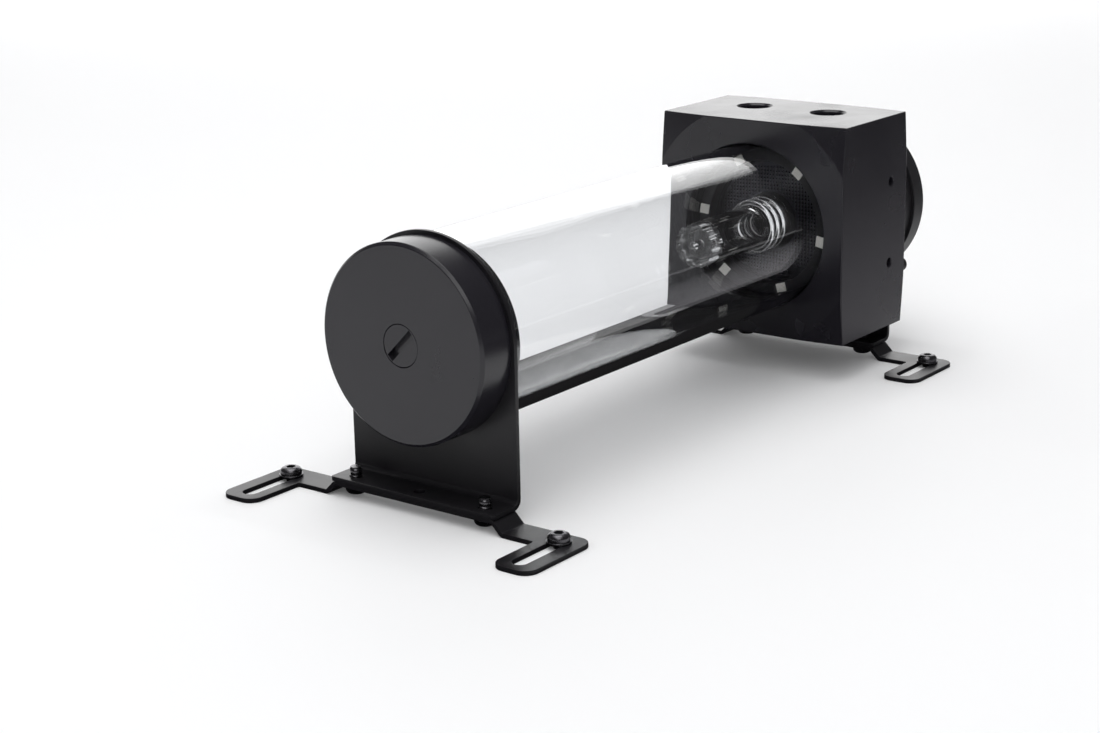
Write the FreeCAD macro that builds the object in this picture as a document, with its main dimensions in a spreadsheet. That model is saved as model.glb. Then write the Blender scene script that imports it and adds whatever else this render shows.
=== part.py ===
import FreeCAD, Part
import math
import os
import re

import Sketcher
from FreeCAD import Placement, Rotation, Vector

# Coolant pump reservoir: a glass tube between an end cap and a square pump block,
# carried by two angle brackets on two slotted bridge plates.
# X runs along the tube from the cap to the pump, Z is up and the plates stand on Z = 0.
# The origin is the middle of the slot pattern, on the underside of the plates.

# Driving sizes in millimetres: alias, value, meaning.
DRIVING = (
    ("slot_span_x", 225.0, "slot centre to slot centre along the tube"),
    ("slot_span_y", 105.0, "slot centre to slot centre across the tube"),
    ("slot_length", 24.0, "slot length over its round ends"),
    ("slot_width", 5.0, "slot width"),
    ("ear_end_land", 3.5, "metal past each slot end"),
    ("ear_outer_margin", 7.5, "slot centre line to the outer edge of an ear"),
    ("ear_inner_margin", 6.5, "slot centre line to the inner edge of an ear"),
    ("ear_corner_r", 4.5, "corner radius of the ears"),
    ("plate_thickness", 1.5, "sheet of the bridge plates"),
    ("bridge_rise", 3.5, "height of the raised middle above the ears"),
    ("bridge_half", 30.5, "half width of the raised middle, to the top of its ramps"),
    ("strip_width", 10.5, "width of the strip that joins the ears"),
    ("bracket_thickness", 1.5, "sheet of the angle brackets"),
    ("bracket_offset", 16.0, "slot centre to the front face of a bracket's upright"),
    ("bracket_width", 64.0, "width of the brackets, twice the radius of their round top"),
    ("bracket_bend_r", 3.0, "outer radius of the bend"),
    ("foot_length", 13.0, "length of a bracket's foot over the upright"),
    ("block_lift", 9.0, "pump block above the underside of the feet"),
    ("foot_screw_setback", 7.0, "foot screws ahead of the upright"),
    ("foot_screw_half", 25.3, "foot screws to either side of the middle"),
    ("foot_hole_r", 1.8, "spare middle hole of the feet"),
    ("tube_outer_r", 30.0, "glass tube, outer radius"),
    ("tube_wall", 3.0, "glass tube, wall"),
    ("cap_r", 30.8, "end cap radius"),
    ("cap_thickness", 13.0, "end cap thickness ahead of the bracket"),
    ("cap_edge", 0.9, "chamfer of the cap's front edge"),
    ("cap_web", 10.5, "cap thickness around the fill port"),
    ("cap_spigot_wall", 4.8, "wall round the hollow in the back of the cap"),
    ("spigot_reach", 6.0, "cap spigot inside the tube"),
    ("spigot_clearance", 0.2, "gap between spigot and glass"),
    ("seal_r", 0.9, "cord radius of the large O-rings"),
    ("plug_r", 6.5, "fill plug radius"),
    ("plug_clearance", 0.08, "gap between the fill plug and its bore"),
    ("plug_length", 7.2, "fill plug length"),
    ("plug_bore_depth", 9.0, "depth of the fill plug's bore"),
    ("plug_recess", 0.1, "plug face below the cap face"),
    ("plug_slot_length", 12.0, "slot of the plug, length"),
    ("plug_slot_width", 2.5, "slot of the plug, width"),
    ("plug_slot_depth", 2.2, "slot of the plug, depth"),
    ("plug_slot_angle", 45.0, "slot of the plug, turned from level"),
    ("plug_seal_r", 0.8, "cord radius of the plug's O-ring"),
    ("fill_throat_r", 5.0, "hole behind the fill plug"),
    ("block_width", 76.0, "pump block across the tube"),
    ("block_height", 78.0, "pump block height"),
    ("block_depth", 46.5, "pump block along the tube"),
    ("face_circle_r", 43.3, "flat round face of the block inside its turned corners"),
    ("corner_setback", 1.9, "how far the turned corners fall back"),
    ("tube_bore_depth", 11.0, "tube inside the block"),
    ("tube_bore_clearance", 0.3, "gap between glass and block"),
    ("recess_inner_r", 10.6, "suction recess, inner radius"),
    ("recess_outer_r", 21.5, "suction recess, outer radius"),
    ("recess_depth", 4.0, "suction recess depth"),
    ("riser_socket_depth", 7.0, "depth of the riser's socket"),
    ("riser_spigot_r", 6.5, "threaded end of the riser"),
    ("fit_gap", 0.1, "radial gap of the small push fits"),
    ("port_setback", 18.5, "coolant ports ahead of the block's rear face"),
    ("port_half", 15.5, "coolant ports to either side of the middle"),
    ("port_r", 5.9, "coolant port wall radius"),
    ("port_depth", 13.0, "coolant port depth"),
    ("outlet_duct_r", 3.0, "outlet duct radius"),
    ("outlet_step", 0.3, "outlet duct inside the port's wall"),
    ("outlet_reach", 15.0, "end of the outlet duct above the axis"),
    ("return_duct_r", 2.8, "return duct radius"),
    ("suction_duct_r", 2.8, "suction duct radius"),
    ("suction_ring_r", 16.5, "suction ducts at the strainer"),
    ("suction_eye_r", 4.5, "suction ducts at the impeller's eye"),
    ("side_hole_setback", 11.5, "side holes ahead of the block's rear face"),
    ("side_hole_half", 15.0, "side holes above and below the axis"),
    ("side_hole_r", 1.65, "side hole radius"),
    ("side_hole_depth", 8.0, "side hole depth"),
    ("nose_depth", 12.0, "pocket for the pump's nose"),
    ("nose_clearance", 0.15, "gap round the pump's nose"),
    ("nose_end_gap", 1.0, "pump nose short of its pocket's floor"),
    ("volute_r", 22.0, "volute radius"),
    ("volute_depth", 7.5, "volute depth"),
    ("eye_r", 8.6, "suction eye radius"),
    ("eye_depth", 2.5, "suction eye depth"),
    ("riser_outer_r", 7.8, "riser tube radius"),
    ("riser_wall", 2.4, "riser tube wall"),
    ("riser_length", 43.0, "riser tube ahead of its seat"),
    ("riser_flange_r", 10.0, "flange and thread rings of the riser"),
    ("riser_flange_t", 1.6, "flange of the riser"),
    ("thread_ring_pitch", 4.0, "distance between the thread rings"),
    ("thread_ring_width", 1.8, "width of a thread ring"),
    ("diffuser_length", 6.5, "diffuser ahead of the riser tube"),
    ("diffuser_hole_r", 1.6, "jet hole of the diffuser"),
    ("flute_r", 1.0, "flutes of the diffuser"),
    ("strainer_t", 0.8, "strainer sheet"),
    ("strainer_setback", 1.0, "strainer behind the bore floor"),
    ("strainer_hole_r", 1.2, "strainer hole, middle to corner"),
    ("led_ring_width", 4.0, "light ring, from its bore to its rim"),
    ("led_ring_depth", 5.0, "light ring along the axis"),
    ("led_ring_gap", 0.3, "gap between light ring and glass"),
    ("led_size", 3.6, "side of a light chip"),
    ("led_height", 0.7, "height of a light chip"),
    ("led_turn", 8.0, "first light chip, degrees above level"),
    ("flange_half", 31.0, "half side of the pump flange"),
    ("flange_corner_r", 6.0, "corner radius of the pump flange"),
    ("flange_thickness", 4.0, "pump flange thickness"),
    ("flange_screw_half", 25.0, "pump screws to either side of the axis"),
    ("pump_screw_reach", 10.0, "pump screws inside the block"),
    ("can_r", 30.2, "motor can radius"),
    ("can_length", 14.0, "motor can behind the flange"),
    ("can_wall", 2.0, "motor can wall"),
    ("stator_room", 6.5, "nose room from the rotor cup to the stator's rim"),
    ("rotor_cup_depth", 17.5, "rotor cup depth"),
    ("rotor_cup_wall", 1.3, "rotor cup wall"),
    ("rotor_clearance", 0.4, "gap between rotor and cup"),
    ("nose_wall", 2.9, "wall of the pump nose round the stator"),
    ("stator_step_wall", 5.5, "nose wall ahead of the stator"),
    ("coil_inner_r", 10.0, "coils of the stator, inner side"),
    ("coil_gap", 2.0, "gap round the coils"),
    ("cover_r", 31.5, "rear cover radius"),
    ("cover_length", 8.0, "rear cover length"),
    ("cover_floor", 2.5, "rear cover floor"),
    ("cover_edge", 1.0, "chamfer of the rear cover"),
    ("board_thickness", 1.6, "circuit board"),
    ("impeller_r", 19.5, "impeller radius"),
    ("impeller_disc", 1.5, "impeller back disc"),
    ("vane_height", 4.2, "impeller vane height"),
    ("vane_thickness", 1.3, "impeller vane thickness"),
    ("vane_inner_r", 5.5, "impeller vanes start"),
    ("vane_curve_r", 12.0, "curve of an impeller vane"),
    ("hub_r", 5.0, "impeller hub radius"),
    ("post_r", 1.9, "bearing post radius"),
    ("ball_r", 2.6, "bearing ball radius"),
    ("ball_clearance", 0.05, "gap between ball and its cup"),
    ("dial_r", 5.0, "speed dial radius"),
    ("dial_offset", 15.0, "speed dial beside the axis"),
    ("dial_clearance", 0.06, "gap round the speed dial"),
    ("dial_recess", 0.5, "speed dial below the cover's face"),
    ("stem_r", 1.5, "speed dial stem radius"),
    ("pump_grommet_drop", 20.0, "cable grommet below the axis"),
    ("pump_grommet_r", 4.6, "cable grommet radius"),
    ("pump_grommet_bore", 2.4, "cable grommet bore"),
    ("pump_grommet_neck", 3.6, "cable grommet neck"),
    ("led_grommet_r", 2.6, "light cable grommet radius"),
    ("led_grommet_beside", 3.2, "light cable grommet beside the rear bracket"),
    ("led_grommet_drop", 18.6, "light cable grommet below the axis"),
    ("led_grommet_height", 2.6, "light cable grommet stands out"),
    ("screw_r", 1.95, "screw shank radius"),
    ("screw_hole_r", 2.05, "screw hole radius"),
    ("screw_head_r", 3.4, "screw head radius"),
    ("screw_head_h", 2.3, "screw head height"),
    ("foot_screw_tip", 3.2, "foot screws stand above the foot"),
    ("slot_screw_shift", 8.5, "screw in a slot, behind the slot's centre"),
    ("washer_r", 3.8, "washer radius"),
    ("washer_t", 0.8, "washer thickness"),
)

# Places that follow from the driving sizes: alias, formula.
DERIVED = (
    ("slot_x", "slot_span_x / 2"),
    ("slot_y", "slot_span_y / 2"),
    ("slot_straight_half", "(slot_length - slot_width) / 2"),
    ("ear_half", "slot_length / 2 + ear_end_land"),
    ("ear_outer_y", "slot_y + ear_outer_margin"),
    ("ear_inner_y", "slot_y - ear_inner_margin"),
    ("bridge_top_z", "bridge_rise + plate_thickness"),
    ("ramp_foot_y", "bridge_half + bridge_rise"),
    ("ramp_shift", "plate_thickness * tan(22.5 deg)"),
    ("strip_rear_x", "ear_half"),
    ("strip_front_x", "strip_rear_x - strip_width"),
    ("axis_height", "block_height / 2 + block_lift"),
    ("led_grommet_side", "bracket_width / 2 + led_grommet_beside"),
    ("axis_z", "bridge_top_z + axis_height"),
    ("front_plate_x", "bracket_offset - slot_x"),
    ("rear_plate_x", "bracket_offset + slot_x"),
    ("foot_screw_x", "-foot_screw_setback"),
    ("tube_inner_r", "tube_outer_r - tube_wall"),
    ("bracket_hole_r", "tube_inner_r + 0.05"),
    ("tube_front_x", "front_plate_x + bracket_thickness"),
    ("block_rear_x", "rear_plate_x"),
    ("block_front_x", "block_rear_x - block_depth"),
    ("tube_rear_x", "block_front_x + tube_bore_depth"),
    ("corner_r", "sqrt(block_width * block_width + block_height * block_height) / 2 + 1"),
    ("cap_rear_x", "front_plate_x"),
    ("cap_front_x", "cap_rear_x - cap_thickness"),
    ("spigot_r", "tube_inner_r - spigot_clearance"),
    ("cap_recess_r", "spigot_r - cap_spigot_wall"),
    ("spigot_end_x", "tube_front_x + spigot_reach"),
    ("spigot_groove_x", "tube_front_x + spigot_reach / 2"),
    ("seal_groove_half", "seal_r * 1.15"),
    ("spigot_seal_r", "tube_inner_r - seal_r - 0.05"),
    ("spigot_groove_r", "spigot_seal_r - seal_r"),
    ("plug_bore_r", "plug_r + plug_clearance"),
    ("plug_front_x", "cap_front_x + plug_recess"),
    ("plug_rear_x", "plug_front_x + plug_length"),
    ("plug_shoulder_x", "cap_front_x + plug_bore_depth"),
    ("plug_seal_x", "plug_shoulder_x - plug_seal_r"),
    ("plug_seal_ring_r", "plug_bore_r - plug_seal_r - 0.15"),
    ("cap_recess_x", "cap_front_x + cap_web"),
    ("bore_r", "tube_outer_r + tube_bore_clearance"),
    ("bore_seal_x", "block_front_x + tube_bore_depth / 3"),
    ("bore_seal_ring_r", "tube_outer_r + seal_r + 0.05"),
    ("bore_groove_r", "bore_seal_ring_r + seal_r"),
    ("riser_socket_r", "riser_spigot_r + fit_gap"),
    ("riser_inner_r", "riser_outer_r - riser_wall"),
    ("riser_front_x", "tube_rear_x - riser_length"),
    ("diffuser_front_x", "riser_front_x - diffuser_length"),
    ("diffuser_spigot_r", "riser_inner_r - fit_gap"),
    ("pocket_floor_x", "block_rear_x - nose_depth"),
    ("volute_floor_x", "pocket_floor_x - volute_depth"),
    ("eye_x", "volute_floor_x - eye_depth"),
    ("port_x", "block_rear_x - port_setback"),
    ("port_floor", "block_height / 2 - port_depth"),
    ("outlet_x", "port_x + port_r - outlet_duct_r - outlet_step"),
    ("side_hole_x", "block_rear_x - side_hole_setback"),
    ("nose_r", "bracket_hole_r - nose_clearance"),
    ("stator_step_r", "nose_r - nose_wall"),
    ("rotor_cup_r", "stator_step_r - stator_room"),
    ("nose_front_x", "pocket_floor_x + nose_end_gap"),
    ("nose_seal_x", "nose_front_x + 2.6"),
    ("nose_seal_ring_r", "bracket_hole_r - seal_r - 0.05"),
    ("nose_groove_r", "nose_seal_ring_r - seal_r"),
    ("flange_x", "rear_plate_x + bracket_thickness"),
    ("can_front_x", "flange_x + flange_thickness"),
    ("can_rear_x", "can_front_x + can_length"),
    ("can_inner_r", "can_r - can_wall"),
    ("cup_floor_x", "nose_front_x + rotor_cup_depth"),
    ("cup_outer_r", "rotor_cup_r + rotor_cup_wall"),
    ("cup_rear_x", "cup_floor_x + rotor_cup_wall"),
    ("stator_x", "nose_front_x + stator_step_wall"),
    ("stator_wide_x", "flange_x + 1.5"),
    ("cover_rear_x", "can_rear_x + cover_length"),
    ("cover_floor_x", "cover_rear_x - cover_floor"),
    ("board_x", "can_rear_x + 1"),
    ("board_rear_x", "board_x + board_thickness"),
    ("board_r", "can_r - can_wall"),
    ("impeller_rear_x", "nose_front_x - 1.5"),
    ("disc_x", "impeller_rear_x - impeller_disc"),
    ("vane_x", "disc_x - vane_height"),
    ("magnet_r", "rotor_cup_r - rotor_clearance"),
    ("magnet_front_x", "nose_front_x + 1.5"),
    ("magnet_rear_x", "cup_floor_x - 1.5"),
    ("ball_x", "magnet_front_x + 3.5"),
    ("dial_rear_x", "cover_rear_x - dial_recess"),
    ("dial_bore_r", "dial_r + dial_clearance"),
    ("strainer_x", "tube_rear_x + strainer_setback"),
    ("led_ring_outer_r", "tube_inner_r - led_ring_gap"),
    ("led_ring_inner_r", "led_ring_outer_r - led_ring_width"),
    ("led_ring_x", "tube_rear_x - led_ring_depth"),
    ("led_mid_r", "(led_ring_inner_r + led_ring_outer_r) / 2"),
)

LED_COUNT = 6
COIL_COUNT = 6
VANE_COUNT = 6
FLUTE_COUNT = 12
SUCTION_COUNT = 4
RING_COUNT = 3
STRAINER_ROWS = ((0.36, 16), (0.68, 22))
CORD_SIDES = 6
START_CIRCLE = 10.0
ALONG_X = Rotation(Vector(0, 1, 0), 90)

doc = FreeCAD.newDocument("coolant_pump_reservoir")
nodes = []


def make_sheet():
    """Write the driving sizes and the places that follow from them."""
    sheet = doc.addObject("Spreadsheet::Sheet", "dim")
    row = 1
    for alias, value, meaning in DRIVING:
        sheet.set(f"A{row}", alias)
        sheet.set(f"B{row}", str(value))
        sheet.set(f"C{row}", meaning)
        sheet.setAlias(f"B{row}", alias)
        row += 1
    for alias, formula in DERIVED:
        sheet.set(f"A{row}", alias)
        sheet.set(f"B{row}", "=" + formula)
        sheet.setAlias(f"B{row}", alias)
        row += 1
    doc.recompute()
    return sheet


dim = make_sheet()


def size(alias):
    """A size or place as a number."""
    return float(dim.get(alias))


def named(text):
    """An expression in aliases, with the sheet's name before each."""
    return re.sub(r"[A-Za-z_]\w*", lambda word: "dim." + word.group(0), str(text))


def bind(obj, prop, text):
    """Tie one property to sizes of the sheet."""
    obj.setExpression(prop, named(text))


def keep(obj, label):
    """Give a finished sub-part its name and list it for export."""
    obj.Label = label
    nodes.append(obj)
    return obj


def new_body(name, z="axis_z", x="0"):
    """A body whose own origin lies on the tube axis, or at the height given."""
    body = doc.addObject("PartDesign::Body", name)
    bind(body, "Placement.Base.x", x)
    bind(body, "Placement.Base.z", z)
    return body


def new_sketch(body, name, role, offset=None):
    """A sketch on one of the body's own origin planes, shifted along its normal."""
    sketch = body.newObject("Sketcher::SketchObject", name)
    plane = [item for item in body.Origin.OriginFeatures if item.Role == role][0]
    sketch.AttachmentSupport = [(plane, "")]
    sketch.MapMode = "FlatFace"
    if offset is not None:
        bind(sketch, "AttachmentOffset.Base.z", offset)
    return sketch


def pin_point(sketch, geometry, end, across, up):
    """Fix a sketch point at two expressions, measured from the sketch's origin."""
    for kind, text in (("DistanceX", across), ("DistanceY", up)):
        number = sketch.addConstraint(Sketcher.Constraint(kind, -1, 1, geometry, end, 1.0))
        bind(sketch, f"Constraints[{number}]", text)


def outline(sketch, points):
    """Closed straight-sided outline through points given as pairs of expressions."""
    count = len(points)
    first = sketch.GeometryCount
    spots = []
    for index in range(count):
        angle = 2 * math.pi * index / count
        spots.append(Vector(START_CIRCLE * math.cos(angle), START_CIRCLE * math.sin(angle), 0))
    for index in range(count):
        sketch.addGeometry(Part.LineSegment(spots[index], spots[(index + 1) % count]), False)
    for index in range(count):
        after = first + (index + 1) % count
        sketch.addConstraint(Sketcher.Constraint("Coincident", first + index, 2, after, 1))
    for index, (across, up) in enumerate(points):
        pin_point(sketch, first + index, 1, across, up)


def rectangle(sketch, low_u, low_v, high_u, high_v):
    """Upright rectangle between two corners."""
    outline(sketch, ((low_u, low_v), (high_u, low_v), (high_u, high_v), (low_u, high_v)))


def circle(sketch, across, up, radius):
    """Circle with its centre and radius tied to expressions."""
    number = sketch.addGeometry(Part.Circle(Vector(1, 1, 0), Vector(0, 0, 1), 1.0), False)
    pin_point(sketch, number, 3, across, up)
    rule = sketch.addConstraint(Sketcher.Constraint("Radius", number, 1.0))
    bind(sketch, f"Constraints[{rule}]", radius)


def turned(body, name, points, cut=False):
    """Solid, or cut, of revolution about the tube axis; points are (along X, radius)."""
    sketch = new_sketch(body, name + "_profile", "XZ_Plane")
    outline(sketch, points)
    doc.recompute()
    before = body.Shape.Volume if cut else 0.0
    kind = "PartDesign::Groove" if cut else "PartDesign::Revolution"
    feature = body.newObject(kind, name)
    feature.Profile = sketch
    feature.ReferenceAxis = (sketch, ["H_Axis"])
    feature.Angle = 360
    doc.recompute()
    if cut and body.Shape.Volume >= before:
        raise RuntimeError(name + " removes nothing")
    return feature


def padded(body, name, sketch, length, both_ways=False):
    """Pad of a sketch along its normal."""
    pad = body.newObject("PartDesign::Pad", name)
    pad.Profile = sketch
    bind(pad, "Length", length)
    if both_ways:
        pad.SideType = "Symmetric"
    doc.recompute()
    return pad


def pocketed(body, name, sketch, length=None, turned_round=False):
    """Pocket of a sketch against its normal, to a depth or through everything."""
    before = body.Shape.Volume
    pocket = body.newObject("PartDesign::Pocket", name)
    pocket.Profile = sketch
    if length is None:
        pocket.Type = "ThroughAll"
        pocket.SideType = "Symmetric"
    else:
        bind(pocket, "Length", length)
        pocket.Reversed = turned_round
    doc.recompute()
    if body.Shape.Volume >= before - 1e-6:
        raise RuntimeError(name + " removes nothing")
    return pocket


def edges_like(shape, test):
    """Names of the edges whose middle and direction pass a test."""
    found = []
    for number, edge in enumerate(shape.Edges, 1):
        if len(edge.Vertexes) < 2:
            continue
        start = edge.Vertexes[0].Point
        end = edge.Vertexes[-1].Point
        if test((start + end) * 0.5, end - start):
            found.append(f"Edge{number}")
    return found


def rounded(body, name, test, radius):
    """Round the edges that a test picks."""
    base = body.Tip
    names = edges_like(base.Shape, test)
    if not names:
        raise RuntimeError(name + " found no edge")
    fillet = body.newObject("PartDesign::Fillet", name)
    fillet.Base = (base, names)
    bind(fillet, "Radius", radius)
    doc.recompute()
    return fillet


def along(direction, axis):
    """True for an edge that runs along one axis."""
    spans = [abs(direction.x), abs(direction.y), abs(direction.z)]
    main = spans.pop("xyz".index(axis))
    return main > 1e-3 and max(spans) < 1e-4


def rod(name, radius, height, x="0", y="0", z="axis_z", lying=True):
    """Round rod that starts at a point, lying along X or standing."""
    cylinder = doc.addObject("Part::Cylinder", name)
    bind(cylinder, "Radius", radius)
    bind(cylinder, "Height", height)
    if lying:
        cylinder.Placement = Placement(Vector(), ALONG_X)
    for prop, text in (("x", x), ("y", y), ("z", z)):
        bind(cylinder, "Placement.Base." + prop, text)
    return cylinder


def cut(name, base, tool):
    """One piece minus another."""
    result = doc.addObject("Part::Cut", name)
    result.Base = base
    result.Tool = tool
    return result


def fused(name, pieces):
    """Several pieces joined into one solid."""
    result = doc.addObject("Part::MultiFuse", name)
    result.Shapes = pieces
    return result


def grouped(label, pieces):
    """Several separate solids under one name."""
    result = doc.addObject("Part::Compound", label)
    result.Links = pieces
    return keep(result, label)


def ring_seal(label, cord_r, ring_r, x):
    """O-ring round the tube axis; its cord has few sides, and corners on its floor and crest."""
    body = new_body(label)
    points = []
    for side in range(CORD_SIDES):
        angle = math.pi / 2 + 2 * math.pi * side / CORD_SIDES
        across = f"{x} + {cord_r} * {math.cos(angle):.6f}"
        points.append((across, f"{ring_r} + {cord_r} * {math.sin(angle):.6f}"))
    turned(body, label + "_turn", points)
    return keep(body, label)


def make_bridge_plate(label, centre_x):
    """Slotted plate: two flat ears joined by a strip that rises in the middle."""
    body = new_body(label, z="0", x=centre_x)
    front = new_sketch(body, label + "_section", "YZ_Plane")
    under = (
        ("-ear_outer_y", "0"),
        ("-ramp_foot_y", "0"),
        ("-bridge_half", "bridge_rise"),
        ("bridge_half", "bridge_rise"),
        ("ramp_foot_y", "0"),
        ("ear_outer_y", "0"),
    )
    over = (
        ("ear_outer_y", "plate_thickness"),
        ("ramp_foot_y + ramp_shift", "plate_thickness"),
        ("bridge_half + ramp_shift", "bridge_top_z"),
        ("-bridge_half - ramp_shift", "bridge_top_z"),
        ("-ramp_foot_y - ramp_shift", "plate_thickness"),
        ("-ear_outer_y", "plate_thickness"),
    )
    outline(front, under + over)
    padded(body, label + "_strip", front, "ear_half * 2", both_ways=True)
    bay = new_sketch(body, label + "_bay_outline", "XY_Plane")
    rectangle(bay, "-ear_half - 1", "-ear_inner_y", "strip_front_x", "ear_inner_y")
    pocketed(body, label + "_bay", bay)
    slots = new_sketch(body, label + "_slot_sides", "XY_Plane")
    ends = new_sketch(body, label + "_slot_ends", "XY_Plane")
    for sign in ("-", ""):
        low = f"{sign}slot_y - slot_width / 2"
        high = f"{sign}slot_y + slot_width / 2"
        rectangle(slots, "-slot_straight_half", low, "slot_straight_half", high)
        circle(ends, "-slot_straight_half", f"{sign}slot_y", "slot_width / 2")
        circle(ends, "slot_straight_half", f"{sign}slot_y", "slot_width / 2")
    pocketed(body, label + "_slots", slots)
    pocketed(body, label + "_slot_rounds", ends)
    holes = new_sketch(body, label + "_screw_holes", "XY_Plane")
    for sign in ("-", ""):
        circle(holes, "bracket_offset - foot_screw_setback", f"{sign}foot_screw_half", "screw_hole_r")
    pocketed(body, label + "_screws", holes)
    reach = size("ear_outer_y")
    half = size("ear_half")
    inner = size("ear_inner_y")

    def ear_corner(middle, direction):
        outer = abs(abs(middle.y) - reach) < 1e-3 and abs(abs(middle.x) - half) < 1e-3
        tip = abs(abs(middle.y) - inner) < 1e-3 and abs(middle.x + half) < 1e-3
        return along(direction, "z") and (outer or tip)

    rounded(body, label + "_corners", ear_corner, "ear_corner_r")
    return keep(body, label)


def make_bracket(label, plate_x):
    """Angle bracket: a foot bent forwards and an upright with a round top and a hole."""
    body = new_body(label, z="bridge_top_z", x=plate_x)
    foot = new_sketch(body, label + "_foot_outline", "XY_Plane")
    rectangle(
        foot,
        "bracket_thickness - foot_length",
        "-bracket_width / 2",
        "bracket_thickness",
        "bracket_width / 2",
    )
    padded(body, label + "_foot", foot, "bracket_thickness")
    upright = new_sketch(body, label + "_upright_outline", "YZ_Plane")
    rectangle(upright, "-bracket_width / 2", "0", "bracket_width / 2", "axis_height")
    padded(body, label + "_upright", upright, "bracket_thickness")
    top = new_sketch(body, label + "_top_outline", "YZ_Plane")
    circle(top, "0", "axis_height", "bracket_width / 2")
    padded(body, label + "_top", top, "bracket_thickness")
    hole = new_sketch(body, label + "_hole_outline", "YZ_Plane")
    circle(hole, "0", "axis_height", "bracket_hole_r")
    pocketed(body, label + "_hole", hole)
    holes = new_sketch(body, label + "_foot_hole_outline", "XY_Plane")
    circle(holes, "foot_screw_x", "0", "foot_hole_r")
    for sign in ("-", ""):
        circle(holes, "foot_screw_x", f"{sign}foot_screw_half", "screw_hole_r")
    pocketed(body, label + "_foot_holes", holes, "bracket_thickness * 1.01", turned_round=True)
    thickness = size("bracket_thickness")

    def outside_bend(middle, direction):
        at_corner = abs(middle.x - thickness) < 1e-3 and abs(middle.z) < 1e-3
        return along(direction, "y") and at_corner

    def inside_bend(middle, direction):
        at_corner = abs(middle.x) < 1e-3 and abs(middle.z - thickness) < 1e-3
        return along(direction, "y") and at_corner

    rounded(body, label + "_bend_outside", outside_bend, "bracket_bend_r")
    rounded(body, label + "_bend_inside", inside_bend, "bracket_bend_r - bracket_thickness")
    return body


def make_rear_bracket():
    """Bracket behind the block, with two more holes for the lower pump screws."""
    body = make_bracket("rear_bracket", "rear_plate_x")
    holes = new_sketch(body, "rear_bracket_pump_hole_outline", "YZ_Plane")
    for sign in ("-", ""):
        circle(holes, f"{sign}flange_screw_half", "axis_height - flange_screw_half", "screw_hole_r")
    pocketed(body, "rear_bracket_pump_holes", holes)
    return keep(body, "rear_bracket")


def make_tube():
    """Clear glass tube between the front bracket and the floor of the block's bore."""
    body = new_body("reservoir_tube")
    points = (
        ("tube_front_x", "tube_inner_r"),
        ("tube_rear_x", "tube_inner_r"),
        ("tube_rear_x", "tube_outer_r"),
        ("tube_front_x", "tube_outer_r"),
    )
    turned(body, "glass_wall", points)
    return keep(body, "reservoir_tube")


def make_end_cap():
    """Round cap with a spigot in the tube, an O-ring groove and a central fill port."""
    body = new_body("end_cap")
    points = (
        ("cap_front_x", "plug_bore_r"),
        ("cap_front_x", "cap_r - cap_edge"),
        ("cap_front_x + cap_edge", "cap_r"),
        ("cap_rear_x", "cap_r"),
        ("cap_rear_x", "spigot_r"),
        ("spigot_groove_x - seal_groove_half", "spigot_r"),
        ("spigot_groove_x - seal_groove_half", "spigot_groove_r"),
        ("spigot_groove_x + seal_groove_half", "spigot_groove_r"),
        ("spigot_groove_x + seal_groove_half", "spigot_r"),
        ("spigot_end_x", "spigot_r"),
        ("spigot_end_x", "cap_recess_r"),
        ("cap_recess_x", "cap_recess_r"),
        ("cap_recess_x", "fill_throat_r"),
        ("plug_shoulder_x", "fill_throat_r"),
        ("plug_shoulder_x", "plug_bore_r"),
    )
    turned(body, "cap_body", points)
    return keep(body, "end_cap")


def make_fill_plug():
    """Flush plug with a screwdriver slot across its face."""
    body = new_body("fill_plug")
    points = (
        ("plug_front_x", "0"),
        ("plug_rear_x", "0"),
        ("plug_rear_x", "plug_r"),
        ("plug_front_x", "plug_r"),
    )
    turned(body, "plug_body", points)
    slot = new_sketch(body, "plug_slot_outline", "YZ_Plane", "plug_front_x")
    half_l = "plug_slot_length / 2"
    half_w = "plug_slot_width / 2"
    rectangle(slot, f"-({half_l})", f"-({half_w})", half_l, half_w)
    bind(slot, "AttachmentOffset.Rotation.Angle", "-plug_slot_angle")
    pocketed(body, "plug_slot", slot, "plug_slot_depth", turned_round=True)
    return keep(body, "fill_plug")


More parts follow.
